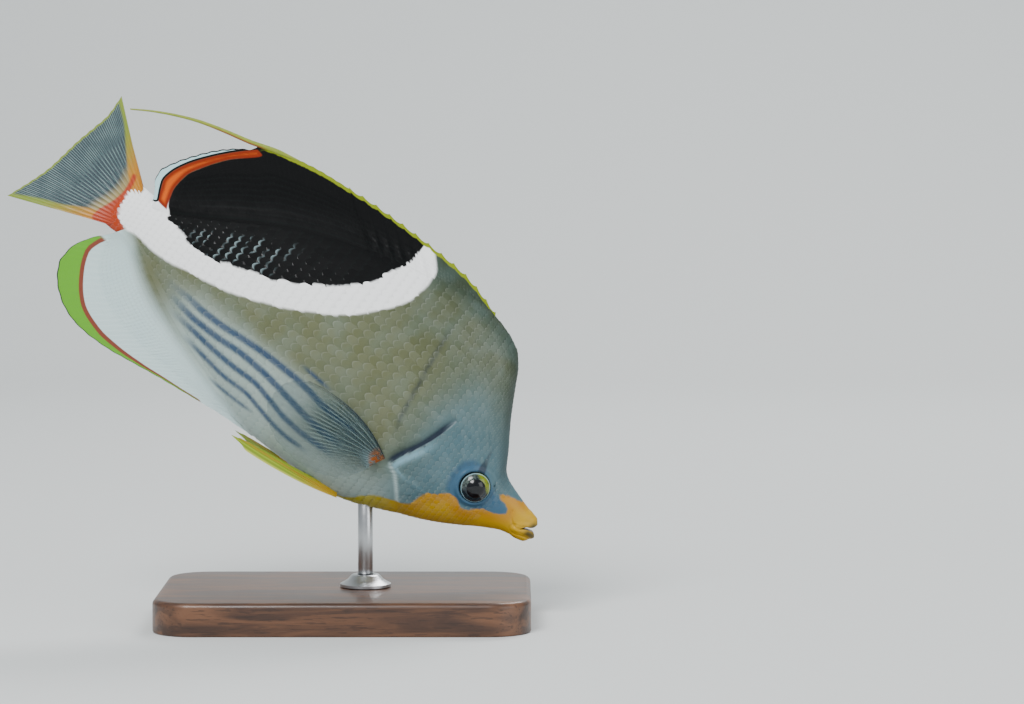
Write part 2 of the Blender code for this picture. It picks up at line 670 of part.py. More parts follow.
def trim_to_body(fin):
    """Cuts a fin back to the body's surface, less the gap."""
    return combine(fin, [body_shell("body_room", CUT_GAP)], "DIFFERENCE")


def rod_length_and_place(frame):
    """The rod's world x, and the height at which it meets the breast."""
    entry = frame @ (Vector(fish_point(ROD_STATION, belly(ROD_STATION), 0.0)) * MM)
    return entry.x, entry.z + ROD_SUNK * MM


def cylinder(name, radius, depth, location, vertices=32):
    """An upright round bar in metres."""
    bm = bmesh.new()
    bmesh.ops.create_cone(bm, cap_ends=True, segments=vertices, radius1=radius, radius2=radius, depth=depth)
    mesh = bpy.data.meshes.new(name)
    bm.to_mesh(mesh)
    bm.free()
    obj = bpy.data.objects.new(name, mesh)
    WORK.objects.link(obj)
    obj.location = location
    return obj


def make_rod(frame):
    x, top = rod_length_and_place(frame)
    bottom = (BASE_HEIGHT + GAP) * MM
    return cylinder("stand_rod", ROD_RADIUS * MM, top - bottom, (x, 0, (top + bottom) / 2))


def rod_room(frame):
    """The socket for the rod's end, in the fish's own frame."""
    x, top = rod_length_and_place(frame)
    depth = 40.0 * MM
    room = cylinder("rod_room", (ROD_RADIUS + GAP) * MM, depth, (x, 0, top + GAP * MM - depth / 2))
    bpy.context.view_layer.update()
    room.data.transform(frame.inverted() @ room.matrix_world)
    room.matrix_world = Matrix.Identity(4)
    return room


def make_collar(x):
    """A turned ring on the base round the rod's foot."""
    inner = ROD_RADIUS + GAP
    profile = [(inner, COLLAR_HEIGHT), (inner + 1.6, COLLAR_HEIGHT), (inner + 2.4, COLLAR_HEIGHT - 0.6),
               (COLLAR_RADIUS - 1.2, 1.5), (COLLAR_RADIUS, 0.9), (COLLAR_RADIUS, 0.0), (inner, 0.0)]
    mesh = bpy.data.meshes.new("stand_collar")
    points = [(r * MM, 0.0, z * MM) for r, z in profile]
    mesh.from_pydata(points, [(i, (i + 1) % len(points)) for i in range(len(points))], [])
    obj = bpy.data.objects.new("stand_collar", mesh)
    WORK.objects.link(obj)
    screw = obj.modifiers.new("turn", "SCREW")
    screw.steps = screw.render_steps = 32
    screw.use_merge_vertices = True
    screw.merge_threshold = 0.00001
    screw.use_normal_calculate = True
    obj.location = (x, 0, (BASE_HEIGHT + GAP) * MM)
    return obj


def make_base():
    """A flat plinth with round corners and eased edges."""
    half_x, half_y, r = BASE_LENGTH / 2, BASE_WIDTH / 2, BASE_CORNER
    outline = []
    for quarter, (cx, cy) in enumerate([(1, 1), (-1, 1), (-1, -1), (1, -1)]):
        for step in range(7):
            angle = math.pi / 2 * (quarter + step / 6)
            outline.append((cx * (half_x - r) + r * math.cos(angle), cy * (half_y - r) + r * math.sin(angle)))
    curve = bpy.data.curves.new("stand_base", "CURVE")
    curve.dimensions = "2D"
    curve.fill_mode = "BOTH"
    curve.extrude = BASE_HEIGHT / 2 * MM
    spline = curve.splines.new("POLY")
    spline.points.add(len(outline) - 1)
    for target, (x, y) in zip(spline.points, outline):
        target.co = (x * MM, y * MM, 0, 1)
    spline.use_cyclic_u = True
    obj = bpy.data.objects.new("stand_base", curve)
    WORK.objects.link(obj)
    obj.location = (0, 0, BASE_HEIGHT / 2 * MM)
    weld = obj.modifiers.new("weld", "WELD")
    weld.merge_threshold = 0.00001
    ease = obj.modifiers.new("ease", "BEVEL")
    ease.width = BASE_EDGE * MM
    ease.segments = 3
    ease.limit_method = "ANGLE"
    ease.angle_limit = math.radians(60)
    return obj


def material(name, colour, roughness, metallic=0.0):
    made = bpy.data.materials.new(name)
    made.use_nodes = True
    shader = made.node_tree.nodes["Principled BSDF"]
    shader.inputs["Base Color"].default_value = (*colour, 1.0)
    shader.inputs["Roughness"].default_value = roughness
    shader.inputs["Metallic"].default_value = metallic
    return made


def finish(obj, paint, collection, parent=None):
    move_to_collection(obj, collection)
    obj.data.materials.clear()
    obj.data.materials.append(paint)
    obj.parent = parent
    if obj.type == "MESH":
        obj.data.shade_smooth()
        obj.data.set_sharp_from_angle(angle=math.radians(40))


def main():
    fish_parts = bpy.data.collections.new("butterflyfish")
    bpy.context.scene.collection.children.link(fish_parts)
    frame_empty = bpy.data.objects.new("fish_frame", None)
    fish_parts.objects.link(frame_empty)
    frame_empty.location = (SNOUT_X * MM, 0, (BASE_HEIGHT + LIP_ABOVE_BASE + LOWEST_LEVEL) * MM)
    frame_empty.rotation_euler = (0, NOSE_DOWN, 0)
    bpy.context.view_layer.update()
    frame = frame_empty.matrix_world.copy()

    skin = material("flank_skin", (0.42, 0.40, 0.30), 0.5)
    face = material("face_skin", (0.35, 0.45, 0.47), 0.5)
    yellow = material("yellow_skin", (0.85, 0.50, 0.05), 0.5)
    white = material("white_skin", (0.85, 0.86, 0.84), 0.5)
    black = material("black_skin", (0.02, 0.02, 0.02), 0.5)
    clear_fin = material("clear_fin", (0.45, 0.50, 0.48), 0.4)
    eye_paint = material("eye", (0.02, 0.02, 0.02), 0.1)
    wood = material("dark_wood", (0.10, 0.055, 0.03), 0.4)
    steel = material("steel", (0.6, 0.6, 0.6), 0.3, 1.0)

    paired = [
        (make_eye("eye_left"), eye_paint),
        (make_gill_cover(), face),
        (trim_to_body(make_pectoral_fin()), clear_fin),
        (trim_to_body(make_pelvic_fin()), yellow),
    ]
    paired += [(mirrored(obj, obj.name.replace("left", "right")), paint) for obj, paint in paired]
    single = [
        (make_head(), face),
        (lower_jaw("lower_jaw"), yellow),
        (make_trunk(rod_room(frame)), skin),
        (make_tail_stalk(), white),
        (trim_to_body(make_spiny_dorsal()), yellow),
        (trim_to_body(make_soft_dorsal()), black),
        (make_filament(), yellow),
        (trim_to_body(make_anal_fin()), white),
        (trim_to_body(make_tail_fin()), clear_fin),
    ]
    for obj, paint in paired + single:
        finish(obj, paint, fish_parts, frame_empty)

    rod = make_rod(frame)
    finish(rod, steel, fish_parts)
    finish(make_collar(rod.location.x), steel, fish_parts)
    finish(make_base(), wood, fish_parts)
    bpy.data.collections.remove(WORK)


for old in list(bpy.data.objects):
    bpy.data.objects.remove(old)
WORK = bpy.data.collections.new("work")
bpy.context.scene.collection.children.link(WORK)
main()
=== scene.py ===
# %% [markdown]
# A blackblotch butterflyfish, life size, swimming head down above a small display base.
# The solids of every part are loaded first, as a fixed frame. Each piece below is then a finer surface that
# takes the place of its plain solid. Keeping the same sizes in both is what makes them fit with no nudging.

# %% Load the solids
import math

import bmesh
import bpy
import numpy as np
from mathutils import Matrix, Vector


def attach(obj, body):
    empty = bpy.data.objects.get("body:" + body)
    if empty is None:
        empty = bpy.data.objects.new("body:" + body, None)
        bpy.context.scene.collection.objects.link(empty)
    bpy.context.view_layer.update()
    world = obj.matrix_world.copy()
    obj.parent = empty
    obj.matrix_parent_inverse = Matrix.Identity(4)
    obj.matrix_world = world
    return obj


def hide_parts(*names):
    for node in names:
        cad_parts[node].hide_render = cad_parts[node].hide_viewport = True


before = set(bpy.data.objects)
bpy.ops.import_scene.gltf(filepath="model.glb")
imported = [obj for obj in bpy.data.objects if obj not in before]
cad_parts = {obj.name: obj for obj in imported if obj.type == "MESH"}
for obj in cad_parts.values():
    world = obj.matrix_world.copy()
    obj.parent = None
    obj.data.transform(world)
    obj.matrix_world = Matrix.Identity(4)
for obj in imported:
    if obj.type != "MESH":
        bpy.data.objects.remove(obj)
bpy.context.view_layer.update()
print("solids:", ", ".join(sorted(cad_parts)))

# %% [markdown]
# The fish hangs nose down, but it is far easier to shape while it is level. So every point is given in the
# fish's own millimetres, as (forward, side, level) from the snout tip, and turned into place at the end.
# A station is a distance behind the snout tip, and a level is a height above the body's axis.

# %% From the fish's millimetres to the room's metres
MM = 0.001
NOSE_DOWN = math.radians(37.7)
SNOUT_PLACE = np.array([64.0, 0.0, 32.9])
TURN = np.array([
    [math.cos(NOSE_DOWN), 0.0, math.sin(NOSE_DOWN)],
    [0.0, 1.0, 0.0],
    [-math.sin(NOSE_DOWN), 0.0, math.cos(NOSE_DOWN)],
])


def in_room(points):
    """Turns fish points about the side axis by the nose-down angle, then moves them to the snout's place."""
    return (np.asarray(points) @ TURN.T + SNOUT_PLACE) * MM


def fish_points(station, side, level):
    """Stacks stations, sides and levels of any shape into points whose first number runs forward."""
    return np.stack(np.broadcast_arrays(-np.asarray(station, float), side, level), -1)


def side_view(points):
    """The stations and the levels of fish points."""
    return -points[..., 0], points[..., 2]


# %% [markdown]
# An animal's outline has no straight lines, yet a long list of points is hard to read and to change.
# A monotone cubic curve needs only a few points. It passes through them all and never bulges between them.

# %% Smooth curves through a few points
def smooth(table):
    """A curve y(x): in each gap a cubic, whose end slopes are harmonic means of the slopes beside them."""
    x, y = np.array(table, float).T
    gap, rise = np.diff(x), np.diff(y) / np.diff(x)
    agree = rise[1:] * rise[:-1] > 0
    mean = 2 * rise[1:] * rise[:-1] / np.where(agree, rise[1:] + rise[:-1], 1.0)
    slope = np.concatenate([rise[:1], np.where(agree, mean, 0.0), rise[-1:]])

    def curve(value):
        value = np.clip(value, x[0], x[-1])
        i = np.clip(np.searchsorted(x, value) - 1, 0, len(x) - 2)
        t = (value - x[i]) / gap[i]
        rises = slope[i] * (t**3 - 2 * t**2 + t) + slope[i + 1] * (t**3 - t**2)
        return y[i] * (2 * t**3 - 3 * t**2 + 1) + y[i + 1] * (3 * t**2 - 2 * t**3) + gap[i] * rises

    return curve


def length_run(points):
    """The length run along a line of points, from its first point to each."""
    return np.concatenate([[0.0], np.linalg.norm(np.diff(points, axis=0), axis=1).cumsum()])


def along(points, share):
    """Points at shares of the length of a smooth line. Each coordinate is a curve of the length run."""
    points = np.array(points, float)
    run = length_run(points)
    return np.stack([smooth(np.stack([run / run[-1], axis], 1))(share) for axis in points.T], -1)


def ease(value, low, high):
    """0 below low, 1 above high, and 3t^2 - 2t^3 of the share t of the way between. high may be lower."""
    t = np.clip((np.asarray(value, float) - low) / (high - low), 0, 1)
    return t * t * (3 - 2 * t)


def bell(value, width):
    """The bell curve e^-(value/width)^2."""
    return np.exp(-((np.asarray(value, float) / width) ** 2))


# %% [markdown]
# Nearly every surface here is a grid of points, so its faces follow from counting alone. Fields, such as the
# distance to the edge of a marking, ride on the points as attributes, and the paints read them.

# %% Grids, welding and finished pieces
def grid_faces(rows, columns, wrap=False):
    """The quads of a grid stored row by row. With wrap, the last column joins the first."""
    across = columns if wrap else columns - 1
    i, j = np.meshgrid(np.arange(rows - 1), np.arange(across), indexing="ij")
    k = (j + 1) % columns
    corners = [i * columns + j, i * columns + k, (i + 1) * columns + k, (i + 1) * columns + j]
    return np.stack(corners, -1).reshape(-1, 4)


def tube_faces(rings, around):
    """The quads between closed rings of points, then one many-sided face for the first ring and the last."""
    cap = np.arange(around)[None]
    return [grid_faces(rings, around, wrap=True), cap, cap + (rings - 1) * around]


def weld(parts):
    """Joins (points, list of face arrays) parts into one, with points nearer than 0.0005 mm made the same."""
    points = np.vstack([p for p, _ in parts])
    starts = np.cumsum([0] + [len(p) for p, _ in parts[:-1]])
    _, first, same = np.unique(np.round(points, 3), axis=0, return_index=True, return_inverse=True)
    blocks = [same.reshape(-1)[f + start] for (_, faces), start in zip(parts, starts) for f in faces]
    return points[first], blocks, first


def new_mesh(name, points, faces):
    """A mesh from points and a list of face arrays, with every face turned outwards."""
    mesh = bpy.data.meshes.new(name)
    mesh.from_pydata(points.tolist(), [], [face for block in faces for face in block.tolist()])
    work = bmesh.new()
    work.from_mesh(mesh)
    bmesh.ops.recalc_face_normals(work, faces=work.faces)
    work.to_mesh(mesh)
    work.free()
    return mesh


def add_object(name, data):
    """A new object in the scene, which shows a mesh, a light or a camera."""
    made = bpy.data.objects.new(name, data)
    bpy.context.scene.collection.objects.link(made)
    return made


def make_piece(name, places, faces, paint, nodes=(), fields=None, patches=None, sharp=50):
    """A finished piece from places in metres, smooth but for edges over sharp degrees. Each field becomes an
    attribute of its points, and nodes are the solids that it takes the place of."""
    mesh = new_mesh(name, places, faces)
    for key, values in (fields or {}).items():
        attribute = mesh.attributes.new(key, "FLOAT", "POINT")
        attribute.data.foreach_set("value", np.ascontiguousarray(values, np.float32).ravel())
    if patches is not None:
        corner_point = np.empty(len(mesh.loops), np.int32)
        mesh.loops.foreach_get("vertex_index", corner_point)
        unwrap = mesh.uv_layers.new(name="OFBake")
        unwrap.data.foreach_set("uv", patches[corner_point].astype(np.float32).ravel())
    mesh.shade_smooth()
    mesh.set_sharp_from_angle(angle=math.radians(sharp))
    mesh.materials.append(paint)
    piece = add_object(name, mesh)
    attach(piece, "root")
    if nodes:
        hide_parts(*nodes)
    mesh.calc_loop_triangles()
    print(f"{name}: {len(mesh.loop_triangles)} triangles")


# %% [markdown]
# Paints are node trees, and sums of masks make up most of them. Wiring Math nodes by hand hides the idea, so
# a Wire stands for one socket and turns plain arithmetic into Math nodes. One method makes all other nodes.

# %% Wires and paints
class Wire:
    """One socket of a paint's node tree. Arithmetic on it adds Math nodes."""

    def __init__(self, paint, socket):
        self.paint = paint
        self.socket = socket

    def math(self, operation, first, second=0.0):
        return self.paint.node("ShaderNodeMath", {"operation": operation}, {0: first, 1: second})

    def __add__(self, other):
        return self.math("ADD", self, other)

    def __radd__(self, other):
        return self.math("ADD", other, self)

    def __sub__(self, other):
        return self.math("SUBTRACT", self, other)

    def __rsub__(self, other):
        return self.math("SUBTRACT", other, self)

    def __mul__(self, other):
        return self.math("MULTIPLY", self, other)

    def __abs__(self):
        return self.math("ABSOLUTE", self)

    def sine(self):
        return self.math("SINE", self)


class Paint:
    """A material: a node tree round one Principled BSDF."""

    def __init__(self, name):
        self.material = bpy.data.materials.new(name)
        self.material.use_nodes = True
        self.tree = self.material.node_tree
        self.shader = self.tree.nodes["Principled BSDF"]

    def fill(self, sockets, values):
        for key, value in values.items():
            if isinstance(value, Wire):
                self.tree.links.new(value.socket, sockets[key])
            else:
                sockets[key].default_value = value

    def node(self, kind, settings, values, out=0):
        """Adds a node, sets it up, fills its sockets with values or links, and gives back one output."""
        made = self.tree.nodes.new(kind)
        for key, value in settings.items():
            setattr(made, key, value)
        self.fill(made.inputs, values)
        return Wire(self, made.outputs[out])

    def field(self, name):
        return self.node("ShaderNodeAttribute", {"attribute_name": name}, {}, "Fac")

    def step(self, value, low, high):
        """A soft threshold: 0 below low and 1 above high, or the reverse where high is lower."""
        ends = {"Value": value, "From Min": low, "From Max": high}
        return self.node("ShaderNodeMapRange", {"interpolation_type": "SMOOTHSTEP"}, ends)

    def mix(self, share, under, over):
        """One colour over another."""
        return self.node("ShaderNodeMix", {"data_type": "RGBA"}, {0: share, 6: under, 7: over}, 2)

    def layers(self, colour, *coats):
        """Colours laid over a first one, from the ground up, each given as (share, colour)."""
        for share, over in coats:
            colour = self.mix(share, colour, over)
        return colour

    def noise(self, size, detail=2.0, stretch=(1.0, 1.0, 1.0)):
        """Noise whose blotches are about size millimetres across, stretched along the fish's own axes."""
        return self.texture(stretch, -NOSE_DOWN, Scale=1 / (size * MM), Detail=detail)

    def texture(self, stretch, tilt, **values):
        """Noise by the object's own coordinates, turned by tilt about the side axis and scaled by stretch."""
        place = self.node("ShaderNodeTexCoord", {}, {}, "Object")
        place = self.node("ShaderNodeMapping", {}, {"Vector": place, "Rotation": (0, tilt, 0)})
        place = self.node("ShaderNodeMapping", {}, {"Vector": place, "Scale": stretch})
        return self.node("ShaderNodeTexNoise", {}, {"Vector": place, **values})

    def bump(self, height, depth):
        """A normal that follows a height, which is 1 at depth millimetres."""
        return self.node("ShaderNodeBump", {}, {"Height": height, "Distance": depth * MM})

    def finish(self, **values):
        """Fills the shader's sockets, whose names are given with _ for a space, and returns the material."""
        self.fill(self.shader.inputs, {key.replace("_", " "): value for key, value in values.items()})
        return self.material


def ink(red, green, blue):
    """A screen colour, 0 to 255, as the linear light that a shader works in."""
    share = np.array([red, green, blue]) / 255
    return (*np.where(share < 0.04045, share / 12.92, ((share + 0.055) / 1.055) ** 2.4).tolist(), 1.0)


# %% [markdown]
# The camera comes before any detail, because it tells which details will be seen. It looks square at the
# right flank from 1.2 m away and a little above, and its lens is long, so the fish is hardly foreshortened.

# %% Camera
CAMERA_AWAY = 1.2
CAMERA_ABOVE = math.radians(4)
SHOWN_WIDTH = 0.3413
AIM = Vector((0.0557, 0.0, 0.0898))


def look_from(thing, place):
    """Moves a camera or a lamp to a place and turns it to face AIM."""
    thing.location = place
    thing.rotation_euler = (AIM - Vector(place)).to_track_quat("-Z", "Y").to_euler()


lens = bpy.data.cameras.new("camera")
lens.sensor_width = 36
lens.lens = lens.sensor_width * CAMERA_AWAY / SHOWN_WIDTH
lens.clip_end = 20
camera = add_object("camera", lens)
look_from(camera, AIM + Vector((0, -math.cos(CAMERA_ABOVE), math.sin(CAMERA_ABOVE))) * CAMERA_AWAY)
bpy.context.scene.camera = camera
print("lens:", round(lens.lens, 1), "mm")

# %% [markdown]
# The floor runs back and curves up into a wall, as paper does in a studio, so no horizon cuts the picture.

# %% Floor and backdrop
SWEEP_RADIUS, SWEEP_FRONT, SWEEP_BACK, SWEEP_TOP, SWEEP_HALF = 0.5, -6.0, 1.0, 3.5, 6.0
PAPER = ink(216, 219, 218)


def sweep_profile():
    """(y, z) of the paper: flat floor, a quarter circle, then a straight wall."""
    turn = np.linspace(0, math.pi / 2, 24)
    curve = np.stack([SWEEP_BACK + SWEEP_RADIUS * np.sin(turn), SWEEP_RADIUS * (1 - np.cos(turn))], 1)
    return np.vstack([[SWEEP_FRONT, 0.0], curve, [SWEEP_BACK + SWEEP_RADIUS, SWEEP_TOP]])


def make_backdrop():
    """The profile carried from one side to the other, as one sheet with a dull, pale paint."""
    profile = sweep_profile()
    sides = [np.insert(profile, 0, x, axis=1) for x in (-SWEEP_HALF, SWEEP_HALF)]
    mesh = bpy.data.meshes.new("backdrop")
    mesh.from_pydata(np.vstack(sides).tolist(), [], grid_faces(2, len(profile)).tolist())
    mesh.shade_smooth()
    mesh.materials.append(Paint("pale_paper").finish(Base_Color=PAPER, Roughness=0.9))
    add_object("backdrop", mesh)


make_backdrop()

# %% [markdown]
# Light from broad panels is soft. The key panel hangs above the head and to its left, the fill is opposite
# and weaker, and a panel from behind draws a thin bright edge along the back and through the fins. Each has a
# place, a size in metres and a power in watts.

# %% Lights
SKY_COLOUR, SKY_STRENGTH = (0.9, 0.95, 1.0, 1.0), 0.55
LIGHTS = {
    "key": ((-0.45, -1.15, 1.25), 0.7, 31.0),
    "fill": ((1.3, -0.9, 0.45), 1.0, 8.0),
    "back": ((0.5, 0.9, 1.1), 0.6, 12.0),
}
for name, (place, size, power) in LIGHTS.items():
    panel = bpy.data.lights.new(name, "AREA")
    panel.size = size
    panel.energy = power
    look_from(add_object(name, panel), place)
world = bpy.data.worlds.new("studio")
world.use_nodes = True
sky = world.node_tree.nodes["Background"].inputs
sky["Color"].default_value = SKY_COLOUR
sky["Strength"].default_value = SKY_STRENGTH
bpy.context.scene.world = world
print("lights:", ", ".join(LIGHTS))

# %% [markdown]
# The body is as thin as a plate seen end on, and a tall oval seen from the side. Upright sections carry it:
# at each station the back, the belly and the breadth are known, and a power of the cosine rounds the flank.
# The skin lies a scale's depth inside the solid, so that the scales end level with it.

# %% The body's outline and flank
BACK = [(4.5, 1.8), (8, 2.8), (12, 4.2), (16, 5.8), (18.2, 7.4), (22, 13.3), (28, 22.4), (33, 31.2),
        (36.5, 37.4), (41, 42.2), (50, 45.7), (60, 47.3), (75, 47.0), (90, 44.6), (105, 40.3), (120, 34.0),
        (135, 25.6), (150, 16.2), (160, 10.9), (168, 8.7), (176, 9.1)]
BELLY = [(4.5, -8.8), (8, -9.7), (12, -11.9), (20, -17.0), (28, -21.6), (36, -25.2), (44, -28.9),
         (52, -32.4), (60, -34.6), (72, -35.3), (86, -35.5), (100, -35.0), (110, -33.0), (120, -29.8),
         (135, -23.6), (150, -16.4), (160, -11.6), (168, -9.3), (176, -9.2)]
BREADTH = [(4.5, 3.7), (10, 4.8), (16, 6.7), (22, 8.7), (28, 10.3), (36, 12.1), (46, 13.7), (58, 14.8),
           (72, 15.2), (90, 14.2), (110, 11.6), (130, 8.4), (150, 5.2), (165, 3.2), (172, 2.4), (176, 1.7)]
WIDEST_LEVEL = [(4.5, -3.8), (16, -4.6), (24, -3.6), (36, -1.0), (50, 2.0), (72, 4.0), (100, 4.0),
                (130, 1.5), (150, 0.3), (176, -0.2)]
BACK_SHARPNESS = [(4.5, 0.95), (24, 1.05), (40, 1.2), (70, 1.4), (105, 1.5), (145, 1.45), (176, 1.0)]
BELLY_SHARPNESS = [(4.5, 0.95), (30, 1.1), (60, 1.05), (100, 1.2), (132, 1.5), (155, 1.4), (176, 1.0)]
COAT_DEPTH = 0.32
back, belly, breadth, widest = smooth(BACK), smooth(BELLY), smooth(BREADTH), smooth(WIDEST_LEVEL)
back_sharpness, belly_sharpness = smooth(BACK_SHARPNESS), smooth(BELLY_SHARPNESS)


def section(station, above):
    """The widest level of the section at a station, with the reach and sharpness of its upper half where
    above is true, and of its lower half elsewhere."""
    middle = widest(station)
    reach = np.where(above, back(station) - middle, middle - belly(station))
    return middle, reach, np.where(above, back_sharpness(station), belly_sharpness(station))


def flank(station, angle):
    """Level = widest level + reach * sin(angle), side = breadth * cos(angle) ^ sharpness; -90 degrees is the
    belly line and 90 degrees is the back line."""
    inset = COAT_DEPTH * ease(station, 8, 16)
    sine, cosine = np.sin(angle), np.clip(np.cos(angle), 0, 1)
    middle, reach, power = section(station, sine > 0)
    return fish_points(station, (breadth(station) - inset) * cosine**power, middle + (reach - inset) * sine)


def half_width(station, level):
    """The side of the solid's flank at a station and level: breadth * (1 - share^2) ^ (sharpness / 2)."""
    middle, reach, power = section(station, level > widest(station))
    return breadth(station) * (1 - np.clip(abs(level - middle) / reach, 0, 1) ** 2) ** (power / 2)


# %% [markdown]
# What makes a head a head is small relief: the gill cover ends in a raised flap with a slot behind it, the
# cheek plate has its own faint edge, the eye sits in a soft-rimmed socket, and two nostrils open before it.
# All of it is one height added along the skin's normal, so the scales can follow the same height later.

# %% Relief of the head
EYE = EYE_STATION, EYE_LEVEL = 24.2, -2.7
EYE_RADIUS, EYE_DEPTH, EYE_SUNK = 5.6, 4.3, 2.2
SOCKET_RADIUS = 4.95
NOSTRILS = [(17.2, 0.5, 0.42), (19.0, 1.4, 0.34)]
GILL_EDGE = [(-36, 37.4), (-28, 39.0), (-24, 40.2), (-21.5, 42.2), (-18, 45.2), (-15.5, 47.6), (-13, 51.2),
             (-10, 50.4), (-6, 48.4), (-2, 46.4), (3, 44.6), (8, 43.2), (12, 42.0), (30, 38.6), (45, 35.4)]
GILL_TOP, GILL_BOTTOM = 11.0, -26.0
CHEEK_EDGE = [(36.2, 8.5), (34.6, 2.0), (34.2, -5.0), (35.0, -12.5), (37.6, -18.0), (42.0, -20.6)]
MAXILLA = [(5.2, -5.6), (6.6, -4.9), (8.2, -3.4), (8.9, -1.8)]
PECTORAL_ROOT = (54.6, -14.9)
gill_edge = smooth(GILL_EDGE)


def away_from(place, station, level):
    """Distance in the side view from one place, a (station, level)."""
    return np.hypot(station - place[0], level - place[1])


def line_distance(station, level, line):
    """Distance in the side view to a smooth line, measured to 40 points along it."""
    marks = along(line, np.linspace(0, 1, 40))
    gaps = np.stack(np.broadcast_arrays(station, level), -1)[..., None, :] - marks
    return np.sqrt((gaps**2).sum(-1)).min(-1)


def behind_gill(station, level):
    """How far a place is behind the gill cover's edge, square to it."""
    slope = gill_edge(level + 0.5) - gill_edge(level - 0.5)
    return (station - gill_edge(level)) / np.sqrt(1 + slope**2)


def relief(station, level):
    """Height of the skin over the plain flank, in mm: a sum of ramps and bell curves round each feature."""
    behind = behind_gill(station, level)
    shown = ease(level, GILL_TOP + 3, GILL_TOP - 3) * ease(level, GILL_BOTTOM, GILL_BOTTOM + 5)
    flap = 0.5 * ease(behind, -10, -1.5) * ease(behind, 0.25, 0.0)
    slot = -0.8 * ease(behind, 0.0, 0.35) * ease(behind, 3.4, 0.7) * (0.35 + 0.65 * ease(level, -15, -11))
    height = shown * (flap + slot)
    near = (station > 3) & (station < 46)
    cheek = np.where(near, line_distance(station, level, CHEEK_EDGE), 99.0)
    height = height - 0.3 * bell(cheek - 0.6, 0.55) + 0.2 * bell(cheek, 1.3)
    fold = np.where(station < 12, line_distance(station, level, MAXILLA), 99.0)
    height = height - 0.3 * bell(fold, 0.4)
    out = away_from(EYE, station, level)
    height = height + 0.5 * bell(out - 5.75, 0.55) - 0.22 * bell(out - 7.4, 0.6)
    height = height - 3.4 * ease(out, SOCKET_RADIUS + 0.15, SOCKET_RADIUS - 0.75)
    for *nostril, radius in NOSTRILS:
        out = away_from(nostril, station, level)
        height = height + 0.2 * bell(out - radius - 0.3, 0.22) - 0.8 * ease(out, radius, radius * 0.4)
    out = np.hypot((station - PECTORAL_ROOT[0] + 0.8) / 1.1, level - PECTORAL_ROOT[1])
    return height + 0.75 * bell(out, 2.6)


def skin(station, angle):
    """A point of the left skin and its normal: the flank plus its relief along the normal, which comes from a
    short step each way."""
    angle = np.clip(angle, -math.pi / 2 + 1e-3, math.pi / 2 - 1e-3)
    here = flank(station, angle)
    down, round_ = flank(station + 0.05, angle) - here, flank(station, angle + 1e-3) - here
    normal = np.cross(round_, down)
    normal /= np.linalg.norm(normal, axis=-1, keepdims=True)
    normal *= np.sign(normal[..., 1:2] + 1e-9)
    return here + normal * relief(station, here[..., 2])[..., None], normal


# %% [markdown]
# The mouth stands a little open, with the lower jaw just ahead of the upper. Ahead of its corner the body's
# ring of points parts into two rings, one for each jaw, whose inner sides line the mouth. All three share the
# points at the corner, so the skin stays one closed surface with no seam.

# %% Jaws
SPLIT, BODY_END = 4.7, 175.4
JAW_RINGS = 34
CORNER_ANGLE = math.radians(-21)
UPPER_TIP, LOWER_TIP, JAW_NOSE = -0.7, -2.3, 2.2
UPPER_TOP = smooth([(-0.7, 0.2), (0.6, 1.1), (4, 1.65), (9, 3.0)])
UPPER_UNDER = smooth([(-0.7, -1.6), (0.4, -2.5), (2.5, -3.5), (5, -5.2), (9, -5.8)])
UPPER_BREADTH = smooth([(-0.7, 2.1), (2, 2.9), (5, 3.8), (9, 4.4)])
LOWER_TOP = smooth([(-2.3, -4.0), (-1.0, -3.5), (2, -4.5), (4.7, -6.0), (7.6, -6.6)])
LOWER_UNDER = smooth([(-2.3, -5.8), (-1.6, -6.6), (0, -8.1), (3, -8.9), (7.6, -9.8)])
LOWER_BREADTH = smooth([(-2.3, 1.9), (0, 2.5), (4, 3.4), (7.6, 3.7)])
UPPER_LIP = [(4.4, -4.5, 3.5), (2.4, -3.1, 3.1), (0.7, -2.1, 2.3), (-0.1, -1.7, 1.2), (-0.3, -1.6, 0)]
LOWER_LIP = [(4.6, -6.4, 3.5), (2.0, -5.3, 3.1), (-0.3, -4.6, 2.3), (-1.4, -4.5, 1.2), (-1.7, -4.5, 0)]
LIP_FULL = 0.36
MOUTH_LINING = 14
ANGLES = np.linspace(-math.pi / 2, math.pi / 2, 101)
CORNER = int(np.argmin(abs(ANGLES - CORNER_ANGLE)))


def both_sides(left):
    """A closed ring from its left half: the half itself, then its mirror image back, without the two ends."""
    return np.concatenate([left, left[..., -2:0:-1, :] * (1, -1, 1)], axis=-2)


